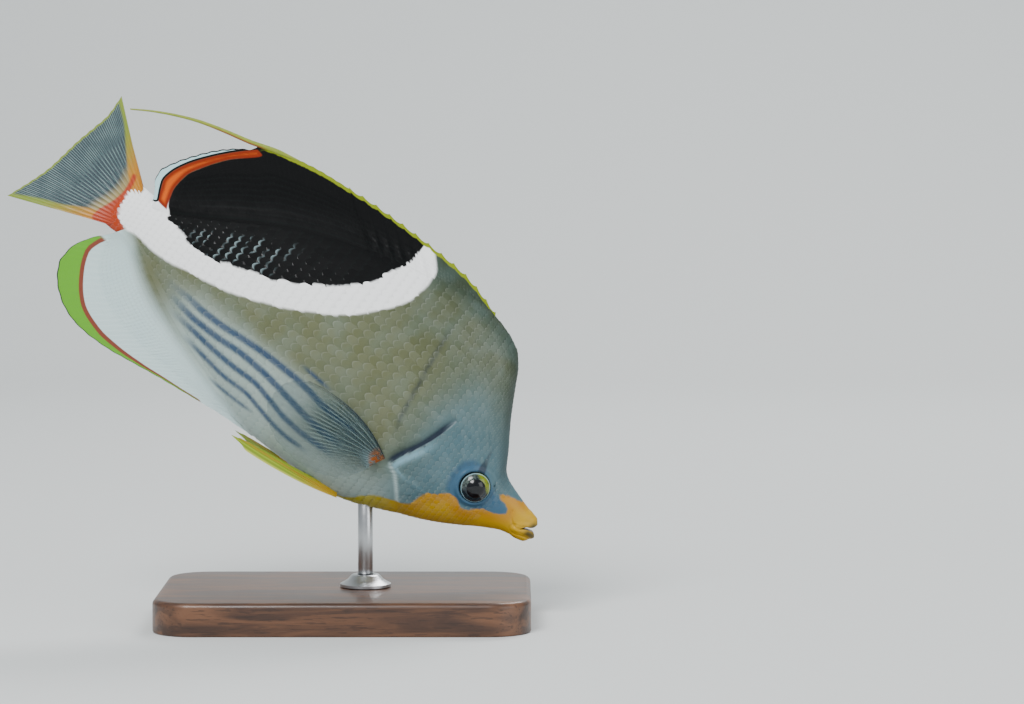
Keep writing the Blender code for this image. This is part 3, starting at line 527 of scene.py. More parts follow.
def jaw_rings(tip, edge, far, wide, corner_arc, roof):
    """Rings from the mouth's corner to a jaw's tip. Outside, level = edge + (far - edge) * sin(a) and side =
    wide * cos(a) ^ 0.8, with both shrunk to a round nose; inside, a shallow arch of height roof."""
    run = np.sin(np.linspace(0, math.pi / 2, JAW_RINGS)) ** 0.9
    station = (SPLIT + (tip - SPLIT) * run)[:, None]
    full = np.sqrt(1 - (1 - np.clip((station - tip) / JAW_NOSE, 0, 1)) ** 2) * 0.94 + 0.06
    middle = (edge(station) + far(station)) / 2
    turn = np.linspace(0, math.pi / 2, len(corner_arc))[None]
    level = edge(station) + (far(station) - edge(station)) * np.sin(turn)
    level = middle + (level - middle) * full
    side = wide(station) * full * np.clip(np.cos(turn), 0, 1) ** 0.8
    joined = ease(station, 1.6, SPLIT)
    level = level + (corner_arc[:, 2] - level) * joined
    side = side + (corner_arc[:, 1] - side) * joined
    outer = fish_points(np.broadcast_to(station, level.shape), side, level)
    across = np.linspace(-1, 1, MOUTH_LINING + 1)[None, 1:-1]
    inner_level = level[:, :1] + roof * (1 - joined) * full * (1 - across**2)
    inner = fish_points(np.broadcast_to(station, inner_level.shape), side[:, :1] * across, inner_level)
    right = outer[:, -2::-1] * (1, -1, 1)
    return np.concatenate([outer, right, inner], axis=1)


def make_skin_surface():
    """The body's rings and the two jaws' rings, welded, with a flag that is 1 on the mouth's lining."""
    station = np.concatenate([
        np.linspace(SPLIT, 30, 116), np.linspace(30, 56, 66)[1:], np.linspace(56, BODY_END, 98)[1:],
    ])[:, None]
    rings = both_sides(skin(station, ANGLES[None])[0])
    rings[0] = both_sides(flank(SPLIT, ANGLES))
    quads, _, cap = tube_faces(*rings.shape[:2])
    parts = [(rings.reshape(-1, 3), [quads, cap])]
    flags = [np.zeros(rings.shape[:2])]
    upper_arc, lower_arc = flank(SPLIT, ANGLES[CORNER:]), flank(SPLIT, ANGLES[CORNER::-1])
    for jaw in (
        jaw_rings(UPPER_TIP, UPPER_UNDER, UPPER_TOP, UPPER_BREADTH, upper_arc, 0.9),
        jaw_rings(LOWER_TIP, LOWER_TOP, LOWER_UNDER, LOWER_BREADTH, lower_arc, -0.8),
    ):
        quads, _, cap = tube_faces(*jaw.shape[:2])
        parts.append((jaw.reshape(-1, 3), [quads, cap]))
        flag = np.zeros(jaw.shape[:2])
        flag[:, -MOUTH_LINING + 1:] = 1
        flags.append(flag)
    points, faces, first = weld(parts)
    return points, faces, np.concatenate([f.ravel() for f in flags])[first]


def swell_lips(points, faces):
    """Moves points out along their normals by LIP_FULL * bell of the distance to the nearer lip's line, and
    gives back how dark the tips of the lips are."""
    mesh = new_mesh("lips", points, faces)
    normals = np.empty(len(points) * 3, np.float32)
    mesh.vertices.foreach_get("normal", normals)
    bpy.data.meshes.remove(mesh)
    front = points[:, 0] > -9
    near = points[front].copy()
    near[:, 1] = abs(near[:, 1])
    height, nearest = np.zeros(len(near)), np.full(len(near), 99.0)
    for lip in (UPPER_LIP, LOWER_LIP):
        station, level, side = along(lip, np.linspace(0, 1, 60)).T
        gaps = near[:, None] - fish_points(station, side, level)
        away = np.sqrt((gaps**2).sum(-1)).min(-1)
        height = np.maximum(height, LIP_FULL * bell(away, 0.85)) - 0.16 * bell(away - 1.75, 0.35)
        nearest = np.minimum(nearest, away)
    points, dark = points.copy(), np.zeros(len(points))
    points[front] += normals.reshape(-1, 3)[front] * height[:, None]
    dark[front] = bell(nearest, 1.3) * ease(-near[:, 0], 2.4, 0.2)
    return points, dark


skin_points, skin_faces, mouth_flag = make_skin_surface()
skin_points, lip_dark = swell_lips(skin_points, skin_faces)
print("skin points:", len(skin_points))

# %% [markdown]
# The markings are what tells this species: a black saddle edged in white, a golden face, blue lines on the
# lower flank. Each is an outline in the side view. A point stores how far inside the outline it is, and the
# paint turns that distance into a crisp edge. Skin, scales and fins store the same distances, so they agree.

# %% Outlines of the markings
SADDLE = [(86.5, 54), (86, 44), (87.5, 40), (90, 34), (93, 29), (98, 24.5), (103, 20.5), (110, 16), (117, 12),
          (122, 10), (128, 8), (132, 7), (137, 4.5), (145, 3.4), (152, 4.8), (158, 5.5), (160, 7.5),
          (162.3, 10), (163.5, 15), (163, 20), (160, 26), (155, 33), (149.5, 40), (152, 48), (138, 58),
          (115, 58)]
WHITE_BAND = [(86, 54), (80.5, 48.5), (77.5, 45), (77, 41), (78, 36), (80, 31), (84, 26), (88, 21.5),
              (92, 17.5), (97, 14), (103, 10.5), (110, 6.5), (118, 3), (126, -0.2), (134, -2.2), (142, -3.8),
              (150, -5.4), (156, -5.8), (163, -5.2), (172, -5.6), (182, -5.6), (182, 14), (171, 11),
              (164, 9.6), (157, 13), (150, 28), (130, 42), (108, 56)]
FACE = [(-8, 9), (7.2, 9), (8.2, 2.3), (12, 1.7), (14, 1), (15.8, -0.3), (14, -1), (12, -1.5), (10.2, -2.5),
        (10, -4), (11.5, -5), (14, -6.2), (17, -7), (19, -8.3), (21, -10.5), (23.3, -11.3), (25, -10.2),
        (27, -9.3), (30, -9.8), (31.5, -11.5), (33, -12.8), (35, -13.5), (36, -15.5), (36.5, -18.5),
        (37, -19.8), (40, -22), (44, -23.3), (48, -25), (50.5, -27), (53, -30), (57, -33), (66, -34.2),
        (76, -35), (76, -60), (-8, -60)]
EMBER = [(174.4, 3), (173.6, 0), (172.6, -3.2), (170.6, -5), (168, -6), (164.5, -7), (165, -9), (170, -9.6),
         (176, -10.6), (179.4, -9.4), (179, -6.5), (178.1, -4.3), (177.2, -2), (176.5, 0.3), (176, 3.6),
         (176.3, 7), (177, 9.8), (176.2, 10.2), (175.2, 8), (174.8, 5.5)]
BLUE_PATCH = [(32, 2.5), (33, -3), (31, -8.6), (26, -10), (20, -8.8), (14, -6.5), (10.2, -4.3), (10.5, -2.8),
              (13, -1.6), (17, -0.4), (20, 1), (25, 4), (29, 4.5)]
PALE_EDGE = [(84, -36), (100, -32.5), (115, -28.5), (130, -24.5), (137, -22.5), (144.4, -20.5),
             (151.6, -17.5), (159, -12.4), (164, -7.9), (170, -5)]
DORSAL_BAND = [(149.5, 41.6), (155, 36.2), (160, 30.5), (165, 23.5), (167.5, 18), (168, 15), (167, 12),
               (165, 8), (161, 7.5), (162.5, 11), (163.5, 15), (163, 20), (160, 26), (155, 33), (147, 41)]
DORSAL_RIM = [(149, 42), (155, 36.2), (160, 30.5), (165, 23.5), (167.5, 18), (168, 15), (167, 12), (165, 8),
              (180, 4), (182, 40), (156, 47)]
ANAL_RIM = [(171.6, -13), (172.7, -15), (173.8, -19), (172.7, -23), (170, -28), (167, -32), (163, -35.5),
            (158, -37.6), (152, -39), (145, -39.3), (136, -38.8), (128, -37.9), (120, -37.2), (114, -36.6),
            (108, -60), (200, -60), (200, -8)]
STRIPES = [
    ([(64, -11.8), (74, -12), (81.3, -11.4), (87.3, -10.5), (95.4, -9.8), (104, -9.8), (116, -10.6),
      (124, -11.5), (131, -11.6), (137.5, -11.1), (149, -11.2)], 1.0, (64, 70, 128, 150)),
    ([(66, -18.1), (74, -18.6), (81.3, -18.1), (89, -17), (96.2, -15.9), (104, -15), (112, -14.7),
      (122.6, -15.5), (130.7, -15.6), (138, -14.8), (145, -13.6)], 1.0, (66, 73, 132, 146)),
    ([(66, -22.4), (72.2, -23), (80, -23.4), (87.4, -22.9), (94.8, -21.3), (104, -19.6), (112, -19.9),
      (120, -19.7), (130, -18.9), (141, -18)], 0.85, (66, 74, 128, 142)),
    ([(73, -27.3), (77, -27.5), (84, -27.7), (90.7, -26.9), (97.7, -25.4), (104, -24.3), (112, -24.6),
      (120, -23.8), (128, -22.8), (133, -22.2)], 0.65, (73, 82, 122, 134)),
    ([(96, -28.2), (108, -28.6), (118, -28.2)], 0.4, (96, 102, 110, 118)),
    ([(79, -6), (96, -5)], 0.45, (79, 87, 89, 96)),
]
# Painted shade: a thin dark line behind the gill cover, where a crease of the flank would be shaded, given as
# station by level.
CREASE_SHADE_LINE = [(-6, 55.6), (0, 57.5), (15, 60.0), (30, 62.0), (36, 62.4)]
OUTLINE_CORNERS = 150


def inside_by(station, level, outline):
    """Distance inside a smooth closed outline, negative outside: nearest edge, with the sign from how many
    edges a line forward from the place crosses."""
    corners = along([*outline, outline[0]], np.linspace(0, 1, OUTLINE_CORNERS))[:-1]
    edges = np.roll(corners, -1, axis=0) - corners
    place = np.stack([np.ravel(station), np.ravel(level)], -1)[:, None] - corners
    share = np.clip((place * edges).sum(-1) / (edges**2).sum(-1), 0, 1)
    away = np.sqrt(((place - share[..., None] * edges) ** 2).sum(-1)).min(-1)
    rise = np.where(abs(edges[:, 1]) < 1e-9, 1e-9, edges[:, 1])
    spans = (place[..., 1] < 0) != (place[..., 1] < edges[:, 1])
    crossed = (spans & (place[..., 0] < edges[:, 0] * place[..., 1] / rise)).sum(-1) % 2
    return np.where(crossed == 1, away, -away).reshape(np.shape(station))


def stripe_strength(station, level):
    """0 to 1: each blue line is full within its half width, soft beside it, and fades out at both ends."""
    strength = np.zeros(np.shape(station))
    for line, half, (start, full, fading, end) in STRIPES:
        ends = ease(station, start, full) * ease(station, end, fading)
        gap = abs(level - smooth(line)(station))
        strength = np.maximum(strength, ends * ease(gap, half + 0.7, half - 0.4))
    return strength


def markings(station, level):
    """The fields that the paints read, for places in the side view."""
    behind = behind_gill(station, level)
    edges = ease(behind, -0.4, -0.1) * ease(behind, 2.2, 0.7)
    pale = ease(level - smooth(PALE_EDGE)(station), 4, -4) * ease(station, 78, 100)
    between = 0.45 * ease(station, 68, 92) * ease(level, -3, -14) * ease(station, 152, 130)
    # Painted fill light: the lower flank from the breast back is made paler where the body's shading leaves
    # it dark.
    breast_fill_light = 0.4 * ease(level, -12, -28) * ease(station, 34, 50) * ease(station, 112, 92)
    return {
        "saddle": inside_by(station, level, SADDLE),
        "band": inside_by(station, level, WHITE_BAND),
        "face": inside_by(station, level, FACE),
        "ember": inside_by(station, level, EMBER),
        "blue": ease(inside_by(station, level, BLUE_PATCH), -1.2, 1.0),
        "stripe": stripe_strength(station, level),
        "cool": ease(station, 62, 38) * ease(level, 40, 6),
        "pale": np.maximum(pale, np.maximum(between, breast_fill_light)),
        # slot: painted shade, dark in the gill slot just behind the cover's edge
        "slot": ease(level, 14, 6) * ease(level, -14, -11.5) * edges,
        # flap: a painted highlight, light blue just ahead of the gill cover's edge
        "flap": ease(level, 4, -8) * ease(level, -15.5, -12.5) * bell(behind + 1.6, 1.2),
        "margin": ease(level, -12, -14.5) * ease(level, -26, -22) * bell(behind - 0.1, 0.5),
        "ridge": ease(back(station) - level, 8, 0) * ease(station, 100, 80) * ease(station, 12, 22),
        "crease_shade": bell(station - smooth(CREASE_SHADE_LINE)(level), 0.7) * ease(level, -6, 2) * ease(level, 37, 28),
        "eye_out": away_from(EYE, station, level),
        "forward": station,
        "high": level,
    }


# %% [markdown]
# One function lays the colours over each other, from the ground colour up, as a painter would. It serves the
# skin, the scales and the scaly fins. The colours are those of the photo, a little less green than the water
# makes them.

# %% The fish's colours
OLIVE, OLIVE_HIGH, BACK_DARK = ink(88, 92, 62), ink(69, 76, 51), ink(32, 49, 43)
HEAD_BLUE, BLUE_MOTTLE_AND_HIGHLIGHT, DEEP_BLUE_AND_SHADE = ink(70, 99, 107), ink(132, 178, 196), ink(8, 26, 44)
PALE, STRIPE, PATCH_BLUE = ink(188, 211, 211), ink(2, 46, 84), ink(16, 72, 110)
BLACK, WHITE = ink(2, 3, 4), ink(250, 251, 251)
SCALE_ROOT, SCALE_REAR, SCALE_GLINT = ink(30, 42, 40), ink(226, 232, 222), ink(150, 172, 176)
GOLD, DEEP_GOLD, LEMON = ink(184, 144, 6), ink(172, 120, 6), ink(154, 146, 30)
RED_ORANGE, LIME, RUST = ink(164, 50, 0), ink(86, 158, 4), ink(118, 46, 18)
LIP_DARK, MOUTH_SHADE, EYE_RING = ink(30, 38, 18), ink(48, 26, 24), ink(30, 40, 40)


def ground_colour(paint):
    """Olive above, blue on the head, pale towards the anal fin and, as painted fill light, on the breast,
    mottled by noise a few millimetres across.
    """
    return paint.layers(
        OLIVE,
        (paint.step(paint.field("high"), 8, 44), OLIVE_HIGH),
        (paint.field("cool"), HEAD_BLUE),
        (paint.field("ridge") * 0.55, BACK_DARK),
        # pale includes painted fill light on the breast
        (paint.field("pale"), PALE),
        (paint.step(paint.noise(9.0), 0.35, 0.75) * 0.07, BLUE_MOTTLE_AND_HIGHLIGHT),
    )


def fish_colour(paint, ragged=0.5):
    """The markings over the ground colour, with painted shade in the gill slot and a crease, and a painted
    highlight on the gill flap. ragged is how far noise moves their edges, in millimetres.
    """
    wander = (paint.noise(1.6) - 0.5) * (4 * ragged)
    high, forward, face = paint.field("high"), paint.field("forward"), paint.field("face")
    eye_bar = abs(forward - high * 0.21 - 24.8) - paint.step(high, 8.0, 3.0) * 0.8
    eye_bar = paint.step(eye_bar, 0.9, 0.1) * paint.step(high, 1.0, 3.0) * paint.step(high, 12.0, 8.0)
    golden = paint.layers(
        DEEP_GOLD,
        (paint.step(face, 0.5, 5.0), GOLD),
        (paint.step(forward, 30.0, 54.0), LEMON),
    )
    return paint.layers(
        ground_colour(paint),
        (paint.field("stripe") * 0.9, STRIPE),
        # painted shade along the flank's crease behind the head
        (paint.field("crease_shade") * 0.6, DEEP_BLUE_AND_SHADE),
        (paint.field("blue") * 0.6, PATCH_BLUE),
        # painted highlight on the raised gill flap
        (paint.field("flap") * 0.75, BLUE_MOTTLE_AND_HIGHLIGHT),
        (paint.field("margin") * 0.8, PALE),
        # painted shade filling the gill slot
        (paint.field("slot"), DEEP_BLUE_AND_SHADE),
        (eye_bar * (paint.step(high, 8.0, 4.0) * 0.3 + 0.5), DEEP_BLUE_AND_SHADE),
        (paint.step(paint.field("band") + wander * 0.4, -1.0, 0.2), WHITE),
        (paint.step(paint.field("saddle") + wander, -0.3, 0.3), BLACK),
        (paint.step(paint.field("ember") + wander, -0.7, 0.7), RED_ORANGE),
        (paint.step(face + wander * 0.5, -0.4, 0.4), golden),
    )


def skin_paint():
    """Moist skin: the markings, dark lips, a mouth lining darkened as painted shade, a ring round the eye,
    and fine wrinkles.
    """
    paint = Paint("skin")
    colour = paint.layers(
        fish_colour(paint),
        (paint.field("lip") * 0.9, LIP_DARK),
        # painted shade: the mouth's lining is painted dark, as the inside of the mouth is shaded
        (paint.field("mouth"), MOUTH_SHADE),
        (paint.step(paint.field("eye_out"), 5.5, 4.9) * 0.8, EYE_RING),
    )
    dull = paint.field("slot") * 0.3 + paint.step(paint.field("face"), 0.0, 3.0) * 0.14
    rough = paint.noise(3.0) * 0.18 + 0.3 + dull
    return paint.finish(Base_Color=colour, Roughness=rough, Specular_IOR_Level=0.3,
                        Coat_Weight=0.2 - paint.field("slot") * 0.2, Coat_Roughness=0.25,
                        Normal=paint.bump(paint.noise(0.55, 3.0), 0.06))


skin_fields = {**markings(*side_view(skin_points)), "mouth": mouth_flag, "lip": lip_dark}
make_piece("skin", in_room(skin_points), skin_faces, skin_paint(),
           ["head", "lower_jaw", "gill_cover_left", "gill_cover_right", "trunk", "tail_stalk"],
           skin_fields, sharp=70)

# %% [markdown]
# A fish's scales are thin plates, rooted in the skin and lying over one another like tiles, free at the rear.
# Modelling them one by one is hopeless, but one plate bent onto the skin at thousands of places is only array
# work. Each plate takes its colour from where it is rooted, which gives the saddle its ragged edge.

# %% One scale, bent onto a surface many times
SCALE_ROWS, SCALE_COLUMNS = 4, 6
SCALE_LIFT, SCALE_SINK, SCALE_DOME = 0.2, 0.08, 0.07


def scale_template():
    """Shares (along, across) of a plate's points, then both drawn in for a round rear and a narrow root."""
    along_, across = np.meshgrid(np.linspace(0, 1, SCALE_ROWS + 1), np.linspace(-1, 1, SCALE_COLUMNS + 1),
                                 indexing="ij")
    reach = along_ * (1 - 0.42 * across**2 * along_)
    spread = across * (0.72 + 0.28 * np.sin(math.pi * np.clip(along_, 0, 0.75) / 1.2))
    return along_.ravel(), across.ravel(), reach.ravel(), spread.ravel()


def scale_faces(count):
    """The top of every plate as quads, and one many-sided face under each, through the plate's border."""
    wide = SCALE_COLUMNS + 1
    each = wide * (SCALE_ROWS + 1)
    start = (np.arange(count) * each)[:, None]
    top = (grid_faces(SCALE_ROWS + 1, wide).ravel()[None] + start).reshape(-1, 4)
    index = np.arange(each).reshape(SCALE_ROWS + 1, wide)
    border = np.concatenate([index[0], index[1:, -1], index[-1, -2::-1], index[-2:0:-1, 0]])
    return [top, border[None] + start]


def lay_scales(surface, first, second, length, width):
    """Bends a plate onto surface(first, second) at each root: a step along or across, in millimetres, is
    turned into a step of the surface's own numbers by its speed there. The plate rises from root to rear and
    is domed both ways, so that its flat under face stays below its top."""
    step = 1e-3
    here, _ = surface(first, second)
    speed_first = np.linalg.norm(surface(first + step, second)[0] - here, axis=-1) / step
    speed_second = np.linalg.norm(surface(first, second + step)[0] - here, axis=-1) / step
    _, across, reach, spread = scale_template()
    u = first[:, None] + length[:, None] * (reach - 0.25) / speed_first[:, None]
    v = second[:, None] + width[:, None] / 2 * spread / speed_second[:, None]
    points, normal = surface(u, v)
    lift = -SCALE_SINK + (SCALE_SINK + SCALE_LIFT) * reach**0.8 - SCALE_DOME * across**2
    size = np.clip(length / 4.5, 0.4, 1.0)[:, None]
    return points + normal * (lift * size)[..., None]


ROOT_SHARE = {"saddle": 0.45, "band": 0.2, "face": 0.35, "ember": 0.5}
PATCH = 0.003


def coat_fields(root_fields, plates, seed):
    """Fields of the plates' own points, with the main markings taken by ROOT_SHARE from each plate's root,
    and with the place on the plate and a random tone."""
    along_, across, _, _ = scale_template()
    count = len(plates)
    fields = markings(*side_view(plates.reshape(-1, 3)))
    for key, part in ROOT_SHARE.items():
        fields[key] += part * (np.repeat(root_fields[key], len(along_)) - fields[key])
    fields["rearward"] = np.tile(along_, count)
    fields["across"] = np.tile(across, count)
    fields["tone"] = np.repeat(np.random.default_rng(seed).random(count), len(along_))
    return fields


def bake_patches(first, second):
    """Each plate's own patch, PATCH across, at its root's place on an unwrap whose axes run 0 to 1."""
    along_, across, _, _ = scale_template()
    u = first[:, None] + (along_ - 0.5) * PATCH
    v = second[:, None] + across * (PATCH / 2)
    return np.stack([u, v], -1).reshape(-1, 2)


# %% [markdown]
# Scales are largest in the middle of the flank, about 33 from gill to tail, and smaller towards the tail, the
# belly and the face. They stand in columns, each shifted by half a scale from the last, with columns between
# where the forehead is so steep that they part. Snout, lips and the ring round the eye are bare.

# %% Where the scales of the body stand
SCALE_GAP = smooth([(12, 1.25), (22, 1.5), (36, 1.9), (50, 2.5), (66, 3.2), (118, 3.3), (140, 2.8),
                    (160, 2.1), (175, 1.6)])
SCALES_START, SCALES_END = 12.5, 173.0
ROW_PITCH, SCALE_LONG, SCALE_WIDE = 0.78, 1.7, 1.5
STEEP = 1.5
COLUMN_SAMPLES = 400
BARE_EYE, BARE_FIN = 7.6, 3.0


def column_stations():
    """Stations that step on by half the local gap: columns, and the places between them."""
    stations = [SCALES_START]
    while stations[-1] < SCALES_END:
        stations.append(stations[-1] + float(SCALE_GAP(stations[-1])) / 2)
    return np.array(stations)


def body_roots():
    """Roots in staggered columns: along each column they are evenly spaced by arc length, closer at its
    ends. A place between two columns is used only where a millimetre of station is over STEEP of skin."""
    first, second, share = [], [], []
    sweep = np.linspace(-math.pi / 2 + 0.02, math.pi / 2 - 0.02, COLUMN_SAMPLES)
    for number, station in enumerate(column_stations()):
        column, between = divmod(number, 2)
        line = flank(station, sweep)
        steepness = np.linalg.norm(flank(station + 0.1, sweep) - line, axis=1) / 0.1
        run = length_run(line)
        count = int(run[-1] / (SCALE_GAP(station) * ROW_PITCH))
        even = (np.arange(count) + 0.25 + 0.5 * (column % 2) + 0.25 * between) / count
        eased = even - 0.035 * np.sin(2 * math.pi * even)
        used = (np.interp(eased, run / run[-1], steepness) > STEEP) | (between == 0)
        first.append(np.full(count, station)[used])
        second.append(np.interp(eased, run / run[-1], sweep)[used])
        share.append(eased[used])
    return np.concatenate(first), np.concatenate(second), np.concatenate(share)


def bare(station, level):
    """True where no scale grows: eye, snout and mouth, gill slot and the pectoral fin's root."""
    eye = away_from(EYE, station, level) < BARE_EYE
    behind = behind_gill(station, level)
    slot = (behind > -2.4) & (behind < 1.5) & (level < GILL_TOP + 1) & (level > GILL_BOTTOM)
    fin = away_from(PECTORAL_ROOT, station, level) < BARE_FIN
    snout = station < 17 - 0.3 * (level + 14)
    return eye | slot | fin | snout


def scale_paint():
    """Scales: the markings by root, a paler rear edge, painted highlights as pale streaks at scale edges in
    the saddle, and growth rings and rays in the bump."""
    paint = Paint("scales")
    rear, across, tone = paint.field("rearward"), paint.field("across"), paint.field("tone")
    high, forward, saddle = paint.field("high"), paint.field("forward"), paint.field("saddle")
    light = (1 - paint.step(saddle, -0.3, 0.3)) * (1 - paint.field("ridge") * 0.7)
    # Painted highlights: pale streaks at the rear edges of scales in the saddle.
    glint_streak = paint.step(rear, 0.78, 0.96) * paint.step(abs(across), 0.95, 0.5)
    glint_streak = glint_streak * paint.step(paint.noise(3.6, 1.0, (1.0, 1.0, 0.2)), 0.43, 0.55)
    glint_streak = glint_streak * paint.step(high + forward * 0.57 - 93.5, 1.0, -2.0)
    glint_streak = glint_streak * paint.step(forward, 116.0, 126.0) * paint.step(saddle, 0.2, 1.2)
    colour = paint.layers(
        fish_colour(paint, 0.12),
        (paint.step(rear, 0.6, 0.3) * 0.1, SCALE_ROOT),
        ((paint.step(rear, 0.85, 1.0) * 0.07 + tone * 0.04) * light, SCALE_REAR),
        (glint_streak * 0.55, SCALE_GLINT),
    )
    rings = (rear * 60.0).sine() * 0.5 + (across * 22.0).sine() * 0.35
    rough = 0.62 + tone * 0.08 - light * 0.16
    return paint.finish(Base_Color=colour, Roughness=rough, Specular_IOR_Level=0.14, Coat_Weight=light * 0.3,
                        Coat_Roughness=0.25, Normal=paint.bump(rings, 0.012))


SCALES = scale_paint()
station, angle, share = body_roots()
root_level = flank(station, angle)[:, 2]
kept = ~bare(station, root_level)
station, angle, share, root_level = station[kept], angle[kept], share[kept], root_level[kept]
gap = SCALE_GAP(station)
left_plates = lay_scales(skin, station, angle, gap * SCALE_LONG, gap * ROW_PITCH * SCALE_WIDE)
body_fields = coat_fields(markings(station, root_level), left_plates, 3)
patches = bake_patches((station - 5) / 175, 0.02 + 0.96 * share)
for name, mirror in (("scales_left", 1), ("scales_right", -1)):
    make_piece(name, in_room(left_plates.reshape(-1, 3) * (1, mirror, 1)), scale_faces(len(station)), SCALES,
               (), body_fields, patches, sharp=60)

# %% [markdown]
# A fin is skin stretched over bony rays. Spines are stiff and single, and soft rays split in two and end in a
# fringe. One surface makes them all: a number for the ray and a share of the way out give a place, and a
# cosine of the ray's number raises the ridges. Where the fin leaves the body it is thicker and scaly.

# %% One surface for every fin
STEPS_PER_RAY = 8
FOOT_HALF, FOOT_REACH = 1.6, 3.2


class Fin:
    """A blade given by its root line and its outer edge, each a smooth line in the side view. ray, web and
    edge are half thicknesses in millimetres."""

    def __init__(self, roots, tips, rays, ray, web, edge, notch, bow=0.0, branched=True, sway=None,
                 swell=None, scaly=0.0):
        self.roots, self.tips, self.rays = roots, tips, rays
        self.ray, self.web, self.edge, self.bow = ray, web, edge, bow
        self.notch, self.branched, self.sway, self.swell, self.scaly = notch, branched, sway, swell, scaly

    def line(self, number, out):
        """(station, level, side or absent) at a ray's number and a share out: root + (tip - root) * out,
        bowed by bow * 4 * out * (1 - out), and cut back between the rays by notch. With it comes the distance
        to the outer edge."""
        share = np.clip(number / (self.rays - 1), 0, 1)
        root, tip = self.roots(share), self.tips(share)
        span = tip - root
        size = np.linalg.norm(span[..., :2], axis=-1, keepdims=True)
        between = abs(np.sin(math.pi * number)) ** (2.0 if self.branched else 0.8)
        cut = self.notch * between[..., None] * out[..., None] ** 4
        place = root + span * out[..., None] * (1 - cut / np.maximum(size, 1.0))
        across = np.stack([-span[..., 1], span[..., 0]], -1) / size
        bow = np.interp(share, [0, 1], self.bow) if np.ndim(self.bow) else self.bow
        place[..., :2] += across * (bow * 4 * out * (1 - out))[..., None]
        return place, size[..., 0] * (1 - out)

    def thickness(self, number, out, station, level):
        """Half thickness: the web plus a ridge on each ray, cos(pi * number)^4, which beyond mid-length
        becomes two ridges, sin(2 * pi * number)^4. Under scales no ridge shows, and the edge is thinner."""
        single = np.cos(math.pi * number) ** 4
        if self.branched:
            twin = np.sin(2 * math.pi * number) ** 4
            parting = ease(out, 0.4, 0.65)
            single = single * (1 - parting) + twin * 0.6 * parting
        if self.scaly:
            single = single * ease(out, self.scaly * 0.7, self.scaly * 1.2)
        half = self.web + (self.ray - self.web) * single
        half = half * (1 - out) + self.edge * (1 + 0.9 * single) * out
        return half + (self.swell(station, level) if self.swell else 0.0)

    def surface(self, number, out, face):
        """A point on one face of the blade, with that face's normal."""
        number, out = np.broadcast_arrays(np.asarray(number, float), np.asarray(out, float))
        place, _ = self.line(number, out)
        station, level = place[..., 0], place[..., 1]
        half = self.thickness(number, out, station, level)
        middle = place[..., 2] if place.shape[-1] > 2 else 0.0
        if self.sway:
            middle = self.sway(station, level)
        normal = np.broadcast_to(np.array([0.0, float(face), 0.0]), (*station.shape, 3))
        return fish_points(station, middle + face * half, level), normal

    def build(self, rows):
        """Both faces over a grid, and a border that closes them; with fields for the paint."""
        numbers = np.linspace(0, self.rays - 1, (self.rays - 1) * STEPS_PER_RAY + 1)
        number, out = np.meshgrid(numbers, np.linspace(0, 1, rows + 1) ** 0.9, indexing="ij")
        place, rim = self.line(number, out)
        points = np.concatenate([self.surface(number, out, face)[0].reshape(-1, 3) for face in (1, -1)])
        columns = rows + 1
        one = grid_faces(len(numbers), columns)
        index = np.arange(len(numbers) * columns).reshape(len(numbers), columns)
        loop = np.concatenate([index[0, :-1], index[:-1, -1], index[-1, :0:-1], index[:0:-1, 0]])
        after = np.roll(loop, -1)
        border = np.stack([loop, after, after + index.size, loop + index.size], -1)
        fields = markings(place[..., 0], place[..., 1])
        fields.update(rim=rim, number=number, out=out)
        fields = {key: np.tile(values.ravel(), 2) for key, values in fields.items()}
        return points, [one, one + index.size, border], fields


def line_of(points):
    """A smooth line as a function of the share of its length."""
    return lambda share: along(points, share)


def body_line(edge, start, end, depth):
    """The back or belly between two stations, moved down by depth millimetres, as a function of a share."""
    def at(share):
        station = start + (end - start) * share
        return np.stack([station, edge(station) - depth], -1)
    return at


def foot(height, station, level):
    """The fleshy foot of a fin, as half its thickness: FOOT_HALF * e^-(height / FOOT_REACH) at a height over
    the body. It goes on inside the body, where it stays under the body's half width + FOOT_HALF - depth / 2.
    So fin and flank cross at a small angle, and the root is hidden."""
    inside = half_width(station, level) + FOOT_HALF + 0.5 * np.minimum(height, 0)
    return np.minimum(FOOT_HALF * np.exp(-height / FOOT_REACH), inside)


def back_swell(station, level):
    """The foot of the dorsal fin, which starts as a thin blade at the nape."""
    return foot(level - back(station), station, level) * ease(station, 56, 84)


def belly_swell(station, level):
    """The foot of the anal fin, which starts as thinly."""
    return foot(belly(station) - level, station, level) * ease(station, 92, 112)


# %% [markdown]
# Fin paints add two things to the fish's colours. Bands run along the outer edge at a set distance from it,
# and the rays are paler than the skin between, with fine cross-joints like a bamboo cane's.

# %% Paints for the fins
BAND_BROWN, BAND_ORANGE, ICE_RIM = ink(128, 38, 8), ink(196, 84, 10), ink(178, 214, 218)
SPINE_LIME, ANAL_PALE = ink(126, 140, 20), ink(214, 230, 228)
TAIL_WEB, TAIL_RAY, TAIL_WARM = ink(20, 50, 60), ink(122, 148, 144), ink(168, 146, 84)
TAIL_GOLD, TAIL_LIME = ink(184, 120, 10), ink(122, 142, 20)
PECTORAL_WEB, PECTORAL_RAY, PECTORAL_FRONT = ink(24, 58, 70), ink(124, 148, 140), ink(22, 46, 52)
PECTORAL_PALE, PECTORAL_SPOT = ink(134, 158, 160), ink(156, 82, 8)
PELVIC_WEB, PELVIC_RAY, PELVIC_STREAK = ink(126, 150, 14), ink(176, 192, 44), ink(178, 116, 14)
PELVIC_FRONT, PELVIC_ROOT_GOLD = ink(192, 196, 88), ink(184, 142, 20)


